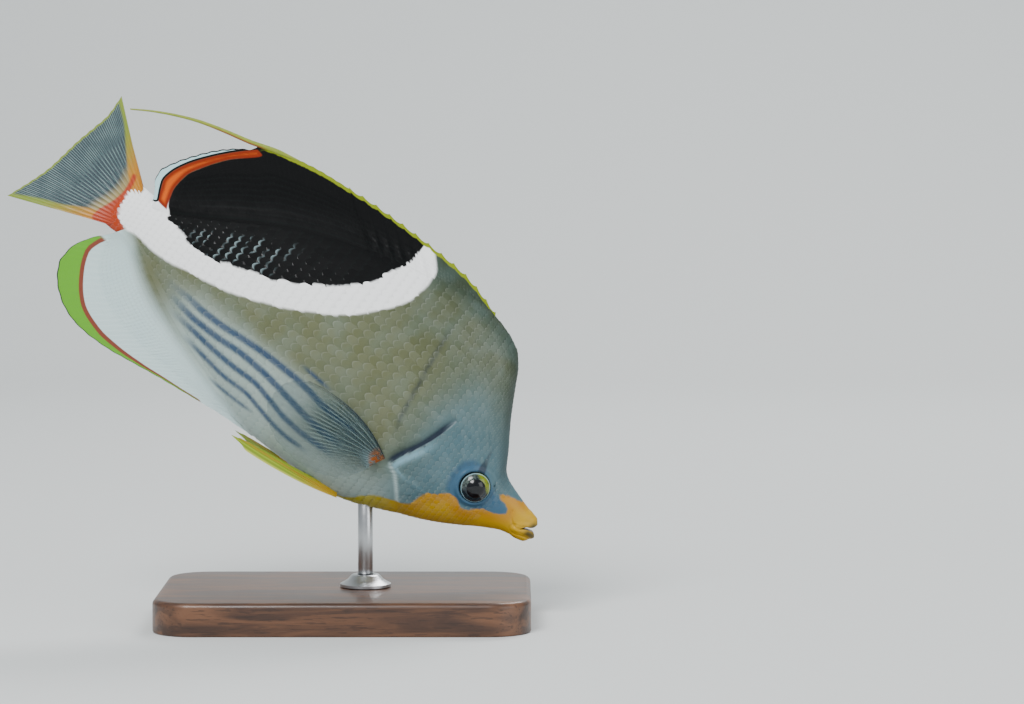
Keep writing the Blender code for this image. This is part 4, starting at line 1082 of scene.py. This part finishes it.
def ray_lines(paint):
    """1 on the rays and 0 between them, from the ray's number; each ray parts in two, and then in four."""
    number, out = paint.field("number"), paint.field("out")
    single = paint.step(abs((number * math.pi).sine()), 0.5, 0.15)
    twin = paint.step(abs((number * (2 * math.pi) + math.pi / 2).sine()), 0.6, 0.2)
    four = paint.step(abs((number * (4 * math.pi) + math.pi / 2).sine()), 0.7, 0.3)
    once, twice = paint.step(out, 0.3, 0.45), paint.step(out, 0.6, 0.75)
    return single * (1 - once) + (twin * (1 - twice) + four * twice) * once


def finish_fin(paint, **values):
    """A moist fin with the rays' cross-joints, 0.84 mm apart, in its bump. Its other sockets are given."""
    joints = paint.step((paint.field("rim") * 7.5).sine(), 0.6, 0.95)
    return paint.finish(**{"Coat_Roughness": 0.25, "Normal": paint.bump(joints, 0.03), **values})


def dorsal_paint():
    """The saddle runs onto this fin, and its edge carries an orange band, a black line and an icy rim."""
    paint = Paint("dorsal_fin")
    rim, orange, outer = paint.field("rim"), paint.field("orange"), paint.field("outer")
    margin = paint.step(rim + (paint.noise(1.2) - 0.5) * 0.8, 2.1, 1.6) * paint.field("crest")
    colour = paint.layers(
        fish_colour(paint, 0.12),
        (paint.step(orange, -0.25, 0.25), paint.mix(paint.step(orange, 0.6, 1.8), BAND_BROWN, BAND_ORANGE)),
        (paint.step(outer, -0.1, 0.1), BLACK),
        (paint.step(outer, 0.55, 0.8) * paint.step(rim, 0.35, 0.5), ICE_RIM),
        (margin, SPINE_LIME),
    )
    return finish_fin(paint, Base_Color=colour, Roughness=0.66, Specular_IOR_Level=0.14, Coat_Weight=0.03)


def anal_paint():
    """The flank's colours fade to pale rays. Outside a rusty line the edge is lime, with a black rim."""
    paint = Paint("anal_fin")
    edge = paint.field("anal_rim")
    lower = paint.step(paint.field("high"), -12.4, -13.8)
    half = paint.step(paint.field("forward"), 122.0, 155.0) * 0.55 + 0.33
    colour = paint.layers(
        PALE,
        (ray_lines(paint) * 0.2, ANAL_PALE),
        (paint.step(paint.field("outward"), 7.0, 0.0), fish_colour(paint)),
        (paint.step(edge, -0.2, 0.2) * lower, LIME),
        (paint.step(abs(edge) - half, 0.0, -0.3) * lower, RUST),
        (paint.step(paint.field("rim"), 0.5, 0.25) * paint.step(edge, 0.0, 0.8), BLACK),
    )
    return finish_fin(paint, Base_Color=colour, Roughness=0.42, Coat_Weight=0.2)


def tail_paint():
    """Pale rays on clear, dark skin, a red-orange root, and gold to lime along the edges."""
    paint = Paint("tail_fin")
    rays, out = ray_lines(paint), paint.field("out")
    uneven = paint.step(paint.noise(5.0), 0.3, 0.7) * 0.4 + 0.4
    edge = paint.mix(paint.step(out, 0.15, 0.75), TAIL_GOLD, TAIL_LIME)
    colour = paint.layers(
        TAIL_WEB,
        (rays * uneven, TAIL_RAY),
        (paint.step(paint.field("ember"), -4.5, -0.8) * 0.7, TAIL_WARM),
        (paint.step(paint.field("rim"), 0.9, 0.4), edge),
        (paint.step(paint.field("gold"), -0.7, 0.4), edge),
        (paint.step(paint.field("ember"), -0.6, 0.3), RED_ORANGE),
    )
    clear = 1 - (1 - rays) * paint.step(out, 0.15, 0.4) * 0.22
    return finish_fin(paint, Base_Color=colour, Roughness=0.4, Alpha=clear, Coat_Weight=0.15)


def pectoral_paint():
    """Clear skin and pale rays, fainter to the rear, with a pale root, a brown spot and a dark front edge."""
    paint = Paint("pectoral_fin")
    out, number = paint.field("out"), paint.field("number")
    rays = ray_lines(paint) * (1 - paint.step(out, 0.55, 0.95) * 0.5)
    base = paint.step(out, 0.26, 0.05) * 0.7 * paint.step(number, 12.0, 6.0)
    front = paint.step(number, 13.3, 13.8)
    colour = paint.layers(
        PECTORAL_WEB,
        (rays * 0.68, PECTORAL_RAY),
        (base, PECTORAL_PALE),
        (paint.step(out, 0.12, 0.06) * paint.step(paint.noise(1.3), 0.4, 0.52), PECTORAL_SPOT),
        (front, PECTORAL_FRONT),
    )
    faint = (1 - paint.step(out, 0.45, 0.8) * 0.62) * (1 - paint.step(number, 9.0, 4.0) * 0.5)
    clear = (rays * 0.1 + front * 0.3 + 0.42) * faint * (1 - base) + base
    return finish_fin(paint, Base_Color=colour, Roughness=0.35, Alpha=clear, Coat_Weight=0.2,
                      Coat_Roughness=0.2)


def pelvic_paint():
    """Lime, with paler rays, a pale front edge and a golden streak and root."""
    paint = Paint("pelvic_fin")
    number = paint.field("number")
    colour = paint.layers(
        PELVIC_WEB,
        (paint.step(abs((number * math.pi).sine()), 0.6, 0.2) * 0.6, PELVIC_RAY),
        (paint.step(abs(number - 2.6 + paint.noise(4.0) * 0.8), 0.9, 0.2) * 0.5, PELVIC_STREAK),
        (paint.step(number, 0.5, 0.1), PELVIC_FRONT),
        (paint.step(paint.field("out"), 0.5, 0.1) * 0.8, PELVIC_ROOT_GOLD),
    )
    return finish_fin(paint, Base_Color=colour, Roughness=0.4, Coat_Weight=0.2)


# %% [markdown]
# The dorsal fin is two fins in one: thirteen spines laid back, then about twenty-two soft rays that carry the
# saddle to the fin's edge. The last spine's webbing and the first soft ray meet in one line.

# %% Dorsal fin
FIN_ROOT_DEPTH = 5.0
SPINE_EDGE = [(53.5, 46.5), (59, 48.1), (64, 49.5), (72, 50.8), (82, 51.1), (95, 51.0), (106, 50.6),
              (117.6, 49.7)]
SOFT_EDGE = [(117.2, 50.0), (128, 48.9), (139, 46.7), (149.5, 43.4), (150.6, 41.0), (155, 37.8),
             (160, 33.2), (165, 27.0), (169, 20.8), (170.9, 16.2), (170.3, 13.0), (168.4, 10.6)]
DORSAL_PAINT = dorsal_paint()


def spine_tips(share):
    """The edge of the spiny fin, raised 0.7 mm because the notches cut it back between the spines."""
    return along(SPINE_EDGE, share) + np.array([0.25, 0.65])


spiny = Fin(body_line(back, 49.5, 98.8, FIN_ROOT_DEPTH), spine_tips, 13, ray=0.72, web=0.26, edge=0.2,
            notch=1.1, branched=False, swell=back_swell)
soft_dorsal = Fin(body_line(back, 98.2, 165.0, FIN_ROOT_DEPTH), line_of(SOFT_EDGE), 22, ray=0.52, web=0.34,
                  edge=0.14, notch=0.25, swell=back_swell, scaly=0.62)
for node, fin, rows in (("dorsal_fin_spiny", spiny, 24), ("dorsal_fin_soft", soft_dorsal, 40)):
    points, faces, fields = fin.build(rows)
    station, level = side_view(points)
    fields["crest"] = ease(station, 49, 53) * ease(station, 149, 145)
    fields["orange"] = inside_by(station, level, DORSAL_BAND)
    fields["outer"] = inside_by(station, level, DORSAL_RIM)
    make_piece(node + "_skin", in_room(points), faces, DORSAL_PAINT, [node], fields)

# %% [markdown]
# From the upper corner of the soft dorsal fin one ray trails on as a thread, past the tail. A tube that thins
# along its path is enough: each ring is square to the path's own direction.

# %% The trailing filament
FILAMENT = [(136, 47.1), (145, 44.7), (152.8, 42.1), (161, 40.0), (170, 37.3), (178, 33.9), (185, 30.2),
            (191, 26.4)]
FILAMENT_RADII = [0, 0.12, 0.35, 1], [0.25, 0.85, 0.75, 0.24]


def thread(path, radii, sides):
    """A tube in the middle plane: path + radius * (across * cos(turn) + side * sin(turn))."""
    heading = np.gradient(path, axis=0)
    heading /= np.linalg.norm(heading, axis=1, keepdims=True)
    turn = np.linspace(0, 2 * math.pi, sides, endpoint=False)
    reach = radii[:, None] * np.cos(turn)
    station = path[:, :1] - heading[:, 1:] * reach
    level = path[:, 1:] + heading[:, :1] * reach
    rings = fish_points(station, radii[:, None] * np.sin(turn) * 0.8, level)
    fields = {"under": np.tile(-np.cos(turn), len(path)), "station": np.repeat(path[:, 0], sides)}
    return rings.reshape(-1, 3), tube_faces(len(path), sides), fields


def filament_paint():
    """Lime above, and rusty below where the thread leaves the fin's corner."""
    paint = Paint("filament")
    station = paint.field("station")
    rusty = paint.step(station, 146.0, 150.0) * paint.step(station, 172.0, 160.0)
    colour = paint.layers(
        ink(104, 128, 20),
        (paint.noise(2.5), ink(144, 150, 40)),
        (rusty * paint.step(paint.field("under"), 0.0, 0.5), ink(134, 78, 20)),
    )
    return paint.finish(Base_Color=colour, Roughness=0.45, Normal=paint.bump(paint.noise(0.6), 0.05))


share = np.linspace(0, 1, 90)
points, faces, fields = thread(along(FILAMENT, share), np.interp(share, *FILAMENT_RADII), 14)
make_piece("filament", in_room(points), faces, filament_paint(), ["dorsal_filament"], fields)

# %% [markdown]
# The anal fin mirrors the soft dorsal fin below the tail, pale, with a lime edge set off by a rust-red line.
# The red-orange of the tail's root stops short of it, so that field is lowered here.

# %% Anal fin
ANAL_EDGE = [(93, -35.4), (100, -35.7), (106, -36.0), (112, -36.7), (120, -37.7), (130, -38.9), (140, -40.4),
             (150, -41.7), (156, -41.9), (162, -41.4), (168, -39.6), (173.4, -36.2), (177.2, -32.0),
             (179.3, -27.0), (178.9, -22.0), (176.8, -17.6), (174.3, -14.0), (171.6, -11.4)]
NO_EMBER = 20.0
anal = Fin(body_line(belly, 88.0, 167.0, -FIN_ROOT_DEPTH), lambda share: along(ANAL_EDGE, share**0.92), 23,
           ray=0.52, web=0.34, edge=0.14, notch=0.2, swell=belly_swell, scaly=0.55)
points, faces, fields = anal.build(40)
station, level = side_view(points)
fields["ember"] -= NO_EMBER
fields["anal_rim"] = inside_by(station, level, ANAL_RIM)
fields["outward"] = belly(station) - level
make_piece("anal_fin_skin", in_room(points), faces, anal_paint(), ["anal_fin"], fields)

# %% [markdown]
# The tail fin is nearly clear between its rays, with a golden edge above and below, and it bends a little to
# one side, as if the fish had just beaten it.

# %% Tail fin
TAIL_ROOTS = [(172.6, 8.7), (174.6, 4.5), (175.2, 0.0), (175.2, -4.5), (174.4, -8.6)]
TAIL_EDGE = [(196, 28.0), (195.7, 21.0), (197, 14.0), (198.6, 7.0), (199.6, 0.5), (200.6, -5.5),
             (202.4, -11.5), (204.4, -17.0), (206.2, -21.7)]
TAIL_ABOVE = [(172, 9), (180, 15.5), (185, 20), (190, 24.5), (196, 28)]
TAIL_BELOW = [(175, -9.3), (180, -9.8), (185, -12), (190, -14.7), (195, -16.5), (206, -21.7)]
TAIL_START, TAIL_LENGTH, TAIL_SWAY, TAIL_SUNK = 174, 32, 3.0, 4.0


def tail_roots(share):
    """The root line, moved forward into the stalk so that the fin grows out of it."""
    return along(TAIL_ROOTS, share) - np.array([TAIL_SUNK, 0.0]) * np.sin(math.pi * share)[..., None] ** 0.5


def stalk_swell(station, level):
    """The tail's root is as thick as the stalk that it grows from."""
    return 1.1 * ease(station, 184, TAIL_START)


def tail_sway(station, level):
    """Side of the blade: TAIL_SWAY * share^2, with the share of the way from the tail's root to its edge."""
    return TAIL_SWAY * np.clip((station - TAIL_START) / TAIL_LENGTH, 0, 1) ** 2


tail = Fin(tail_roots, line_of(TAIL_EDGE), 17, ray=0.5, web=0.2, edge=0.13, notch=0.2, sway=tail_sway,
           swell=stalk_swell)
points, faces, fields = tail.build(44)
station, level = side_view(points)
upper, lower = smooth(TAIL_ABOVE)(station) - level, level - smooth(TAIL_BELOW)(station)
fields["gold"] = np.maximum(np.interp(station, [174, 196], [4.4, 1.2]) - upper * 0.75,
                            np.interp(station, [174, 205], [2.6, 1.2]) - lower)
make_piece("tail_fin_skin", in_room(points), faces, tail_paint(), ["tail_fin"], fields)

# %% [markdown]
# The pectoral fins are the fish's oars: clear fans that stand out from the flank. The pelvic fins are narrow
# leaves folded back under the belly. Each is made once, on the left, and mirrored by changing one sign.

# %% Paired fins
PECTORAL_RAYS = 15
PECTORAL_ROOT_SPREAD = 2.4
PECTORAL_REACH = [(-62, 12.5), (-50, 19), (-35, 28), (-20, 37), (-8, 41.5), (3, 40.5), (13, 35)]
PECTORAL_CLEAR, PECTORAL_FLARE = 0.95, 7.0
PELVIC_ROOT = np.array([58.6, -33.2, 4.2])
PELVIC_TIPS = [(91.5, -39.5, 8.8), (98.6, -38.3, 8.2), (95.6, -37.5, 7.2), (92.4, -36.9, 6.2),
               (88.8, -36.4, 5.3), (83.5, -36.2, 4.6)]


def pectoral_roots(share):
    """A short line across the base, square to the middle rays."""
    spread = (2 * share - 1)[..., None] * np.array([-0.45, 0.9]) * PECTORAL_ROOT_SPREAD
    return np.array(PECTORAL_ROOT) + spread


def pectoral_tips(share):
    """Ends of rays that fan from -62 to 13 degrees, each as long as its angle says."""
    degrees = PECTORAL_REACH[0][0] + (PECTORAL_REACH[-1][0] - PECTORAL_REACH[0][0]) * share
    reach = smooth(PECTORAL_REACH)(degrees)
    turn = np.radians(degrees)
    return np.array(PECTORAL_ROOT) + np.stack([np.cos(turn) * reach, np.sin(turn) * reach], -1)


def pectoral_sway(station, level):
    """Side of the fan: on the flank or outside its own root, plus a flare that grows with the way out."""
    longest = max(reach for _, reach in PECTORAL_REACH)
    side = np.maximum(half_width(station, level), half_width(*PECTORAL_ROOT))
    away = away_from(PECTORAL_ROOT, station, level) / longest
    return side + PECTORAL_CLEAR + PECTORAL_FLARE * away**1.2


def pelvic_roots(share):
    """A short line on the breast, with a side as well as a station and level."""
    return PELVIC_ROOT + (2 * share - 1)[..., None] * np.array([0.5, 0.75, -0.7])


def pelvic_tips(share):
    """The outer edge, straight from one ray's tip to the next."""
    every = np.linspace(0, 1, len(PELVIC_TIPS))
    return np.stack([np.interp(share, every, axis) for axis in np.array(PELVIC_TIPS).T], -1)


pectoral = Fin(pectoral_roots, pectoral_tips, PECTORAL_RAYS, ray=0.42, web=0.14, edge=0.1, bow=(-0.6, 3.7),
               notch=0.5, sway=pectoral_sway)
pelvic = Fin(pelvic_roots, pelvic_tips, len(PELVIC_TIPS), ray=0.5, web=0.24, edge=0.14, bow=(-1.0, 0.4),
             notch=1.0)
pectoral_finish, pelvic_finish = pectoral_paint(), pelvic_paint()
for side_name, mirror in (("left", 1), ("right", -1)):
    for name, fin, finish, slot in (("pectoral_fin_", pectoral, pectoral_finish, "clear_fin"),
                                    ("pelvic_fin_", pelvic, pelvic_finish, "yellow_skin")):
        points, faces, fields = fin.build(36)
        make_piece(name + side_name + "_skin", in_room(points * (1, mirror, 1)), faces, finish,
                   [name + side_name], fields)

# %% [markdown]
# Small scales climb from the back and belly onto the unpaired fins and hide the line where flesh ends and fin
# begins. They are the same plate again, bent onto the fins' own surface with the rays as its length.

# %% Scales on the fins
SCALY_FINS = ((spiny, 0.5, 1.7), (soft_dorsal, 0.62, 1.7), (anal, 0.55, 1.6))
BARE_MARGIN = -1.8


def fin_roots(fin, reach, gap):
    """Staggered rows of roots over the inner part of a fin, out to a share reach, gap millimetres apart."""
    first, second = [], []
    longest = np.linalg.norm(fin.tips(np.array([0.7])) - fin.roots(np.array([0.7])), axis=-1)[0]
    rows = int(longest * reach / gap)
    for row, out in enumerate(np.linspace(0.08, reach, rows)):
        numbers = np.linspace(0, fin.rays - 1, 200)
        line, _ = fin.line(numbers, np.full(200, out))
        run = length_run(line)
        count = int(run[-1] / (gap * 0.8))
        even = (np.arange(count) + 0.25 + 0.5 * (row % 2)) / count
        first.append(np.full(count, out))
        second.append(np.interp(even, run / run[-1], numbers))
    return np.concatenate(first), np.concatenate(second)


fin_plates, fin_fields, fin_patches = [], [], []
for order, (fin, reach, gap) in enumerate(SCALY_FINS):
    out, number = fin_roots(fin, reach, gap)
    place, _ = fin.line(number, out)
    edges = [inside_by(*place.T, outline) for outline in (DORSAL_BAND, DORSAL_RIM, ANAL_RIM)]
    plain = np.max(edges, axis=0) < BARE_MARGIN
    out, number, place = out[plain], number[plain], place[plain]
    size = gap * np.interp(out, [0, reach], [1.15, 0.75])
    for face in (1, -1):
        plates = lay_scales(lambda u, v: fin.surface(v, u, face), out, number, size * 1.6, size * 1.1)
        fin_plates.append(plates.reshape(-1, 3))
        fin_fields.append(coat_fields(markings(*place.T), plates, 7 + order))
        fin_fields[-1]["ember"] -= NO_EMBER * (fin is anal)
        strip = order * 2 + (face > 0)
        fin_patches.append(bake_patches((strip + 0.04 + 0.9 * out) / 6, number / fin.rays))
scale_count = sum(len(p) for p in fin_plates) // ((SCALE_ROWS + 1) * (SCALE_COLUMNS + 1))
joined_fields = {key: np.concatenate([f[key] for f in fin_fields]) for key in fin_fields[0]}
make_piece("fin_scales", in_room(np.vstack(fin_plates)), scale_faces(scale_count), SCALES, (),
           joined_fields, np.vstack(fin_patches), sharp=60)

# %% [markdown]
# A fish's eye has no lids: a clear dome over a flat iris, with the round lens pushed out through the pupil.
# The eyeball is a profile turned about the side axis, and its iris is painted by distance from the middle.

# %% Eyes
PUPIL = 3.2
LENS_DOME, LENS_RADIUS = 0.3, 2.7
EYE_FORWARD = math.radians(12)
IRIS, IRIS_FIBRE, IRIS_LIME = ink(10, 20, 28), ink(26, 44, 52), ink(112, 126, 10)
IRIS_ASHEN, IRIS_RIM, IRIS_RING = ink(112, 124, 112), ink(20, 34, 40), ink(150, 186, 196)
PUPIL_BLACK = ink(3, 6, 12)


def eyeball():
    """Turned profile: radius = EYE_RADIUS * sin(a), side = EYE_DEPTH * cos(a), with the lens domed by
    LENS_DOME and a groove at the pupil's edge. The whole is then turned to face a little forward, square to
    the cheek."""
    slope = np.linspace(0.02, math.pi - 0.3, 70)[:, None]
    turn = np.linspace(0, 2 * math.pi, 96, endpoint=False)[None]
    radius = EYE_RADIUS * np.sin(slope)
    side = EYE_DEPTH * np.cos(slope)
    lens_and_groove = LENS_DOME * np.exp(-((radius / LENS_RADIUS) ** 6)) - 0.1 * bell(radius - PUPIL, 0.18)
    side = side + np.where(slope < math.pi / 2, lens_and_groove, 0.0)
    rear, level = radius * np.cos(turn), EYE_LEVEL + radius * np.sin(turn)
    centre = half_width(EYE_STATION, EYE_LEVEL) - EYE_SUNK
    cosine, sine = math.cos(EYE_FORWARD), math.sin(EYE_FORWARD)
    station = EYE_STATION + rear * cosine - side * sine
    points = fish_points(station, centre + rear * sine + side * cosine, level)
    fields = {
        "radius": np.broadcast_to(radius, station.shape),
        "up": (level - EYE_LEVEL) / EYE_RADIUS,
        "ahead": -rear / EYE_RADIUS,
    }
    return points.reshape(-1, 3), tube_faces(*station.shape), fields


def eye_paint():
    """A dark fibrous iris, lime above and ashen to the rear, with a thin pale ring, round a black pupil."""
    paint = Paint("eye")
    radius, up, ahead = paint.field("radius"), paint.field("up"), paint.field("ahead")
    fibres = paint.noise(0.5, 3.0)
    strands = paint.step(fibres, 0.3, 0.7)
    colour = paint.layers(
        IRIS,
        (strands, IRIS_FIBRE),
        (paint.step(up * 0.9 + ahead * 0.44, 0.35, 0.62) * paint.step(fibres, 0.25, 0.45), IRIS_LIME),
        (paint.step(up * 0.25 - ahead, 0.3, 0.7) * strands * 0.6, IRIS_ASHEN),
        (paint.step(radius, 4.95, 5.1), IRIS_RIM),
        (paint.step(abs(radius - 4.82), 0.13, 0.06) * 0.75, IRIS_RING),
        (paint.step(radius, PUPIL + 0.1, PUPIL - 0.1), PUPIL_BLACK),
    )
    return paint.finish(Base_Color=colour, Roughness=0.2, Specular_IOR_Level=0.2, Coat_Weight=1.0,
                        Coat_Roughness=0.02, Coat_IOR=1.33)


eye_finish = eye_paint()
eye_points, eye_faces, eye_fields = eyeball()
for side_name, mirror in (("left", 1), ("right", -1)):
    make_piece("eyeball_" + side_name, in_room(eye_points * (1, mirror, 1)), eye_faces, eye_finish,
               ["eye_" + side_name], eye_fields, sharp=80)

# %% [markdown]
# The stand is plain on purpose: an oiled hardwood base and a satin steel rod with a turned collar. Its shapes
# are profiles turned round an axis, or carried round a rounded rectangle.

# %% Stand
BASE_LENGTH, BASE_WIDTH, BASE_HEIGHT, BASE_CORNER = 124.0, 82.0, 11.0, 14.0
BASE_EDGE, BASE_UNDER_EDGE, CORNER_POINTS = 1.8, 0.6, 16
ROD_RADIUS, ROD_STATION, ROD_SUNK, ROD_BEVEL = 2.5, 48.5, 6.0, 0.3
BASE_GAP = 0.32
AROUND = 72
WOOD_STRETCH, STEEL_STRETCH = (1.0, 9.0, 9.0), (0.2, 0.2, 30.0)
COLLAR = [(2.85, 4.0), (4.4, 4.0), (4.9, 3.6), (6.0, 2.3), (7.3, 1.5), (8.5, 0.9), (8.5, 0.0), (2.85, 0.0)]


def turned(profile):
    """Rings of AROUND points each: a (radius, height) profile turned about the upright axis."""
    turn = np.linspace(0, 2 * math.pi, AROUND, endpoint=False)
    radius, height = np.array(profile, float).T[..., None]
    rings = np.broadcast_arrays(radius * np.cos(turn), radius * np.sin(turn), height)
    return np.stack(rings, -1).reshape(-1, 3)


def rounded_rectangle(inset):
    """Points round the base's outline, moved in by inset: four quarter circles joined by straight sides."""
    radius = BASE_CORNER - inset
    corners = []
    for quarter, (x, y) in enumerate([(1, 1), (-1, 1), (-1, -1), (1, -1)]):
        turn = np.linspace(0, math.pi / 2, CORNER_POINTS) + quarter * math.pi / 2
        corners.append(np.stack([
            x * (BASE_LENGTH / 2 - BASE_CORNER) + radius * np.cos(turn),
            y * (BASE_WIDTH / 2 - BASE_CORNER) + radius * np.sin(turn),
        ], 1))
    return np.vstack(corners)


def base_surface():
    """The outline carried up the side, over a quarter-round edge above and a small one below."""
    bend = np.linspace(0, math.pi / 2, 8)
    low = np.stack([1 - np.sin(bend), 1 - np.cos(bend)], 1) * BASE_UNDER_EDGE
    high = np.stack([1 - np.cos(bend), np.sin(bend)], 1) * BASE_EDGE + (0, BASE_HEIGHT - BASE_EDGE)
    around = 4 * CORNER_POINTS
    rings = [np.column_stack([rounded_rectangle(inset), np.full(around, height)])
             for inset, height in np.vstack([low, high])]
    return np.vstack(rings), tube_faces(len(rings), around)


def wood_paint():
    """Dark hardwood: long wavy grain from stretched noise, finer pores along it, under satin oil."""
    paint = Paint("oiled_wood")
    grain = paint.texture(WOOD_STRETCH, 0, Scale=22.0, Detail=6.0, Distortion=0.7)
    pores = paint.texture(WOOD_STRETCH, 0, Scale=150.0, Detail=2.0)
    colour = paint.layers(
        ink(58, 36, 24),
        (paint.step(grain, 0.35, 0.68), ink(106, 70, 46)),
        (paint.step(pores, 0.58, 0.66) * 0.5, ink(34, 20, 14)),
    )
    return paint.finish(Base_Color=colour, Roughness=0.34 + grain * 0.15, Coat_Weight=0.15,
                        Normal=paint.bump(pores, 0.05))


def steel_paint():
    """Satin steel, its polish broken by fine lines round the rod."""
    paint = Paint("satin_steel")
    lines = paint.texture(STEEL_STRETCH, 0, Scale=150.0, Detail=3.0)
    return paint.finish(Base_Color=ink(188, 190, 192), Metallic=1.0, Roughness=0.22 + lines * 0.18,
                        Normal=paint.bump(lines, 0.01))


steel = steel_paint()
base_points, base_faces = base_surface()
make_piece("stand_base_wood", base_points * MM, base_faces, wood_paint(), ["stand_base"])
entry = in_room(fish_points(ROD_STATION, 0.0, belly(ROD_STATION)))
axis = np.array([entry[0], 0.0, 0.0])
rod_foot, rod_top = BASE_HEIGHT + BASE_GAP, entry[2] / MM + ROD_SUNK
rod_points = turned([(ROD_RADIUS - ROD_BEVEL, rod_foot), (ROD_RADIUS, rod_foot + ROD_BEVEL),
                     (ROD_RADIUS, rod_top - ROD_BEVEL), (ROD_RADIUS - ROD_BEVEL, rod_top)])
make_piece("stand_rod_steel", rod_points * MM + axis, tube_faces(4, AROUND), steel, ["stand_rod"])
collar_points = turned(COLLAR) + (0, 0, BASE_HEIGHT + BASE_GAP)
collar_faces = grid_faces(len(COLLAR) + 1, AROUND, wrap=True) % len(collar_points)
make_piece("stand_collar_steel", collar_points * MM + axis, [collar_faces], steel,
           ["stand_collar"])
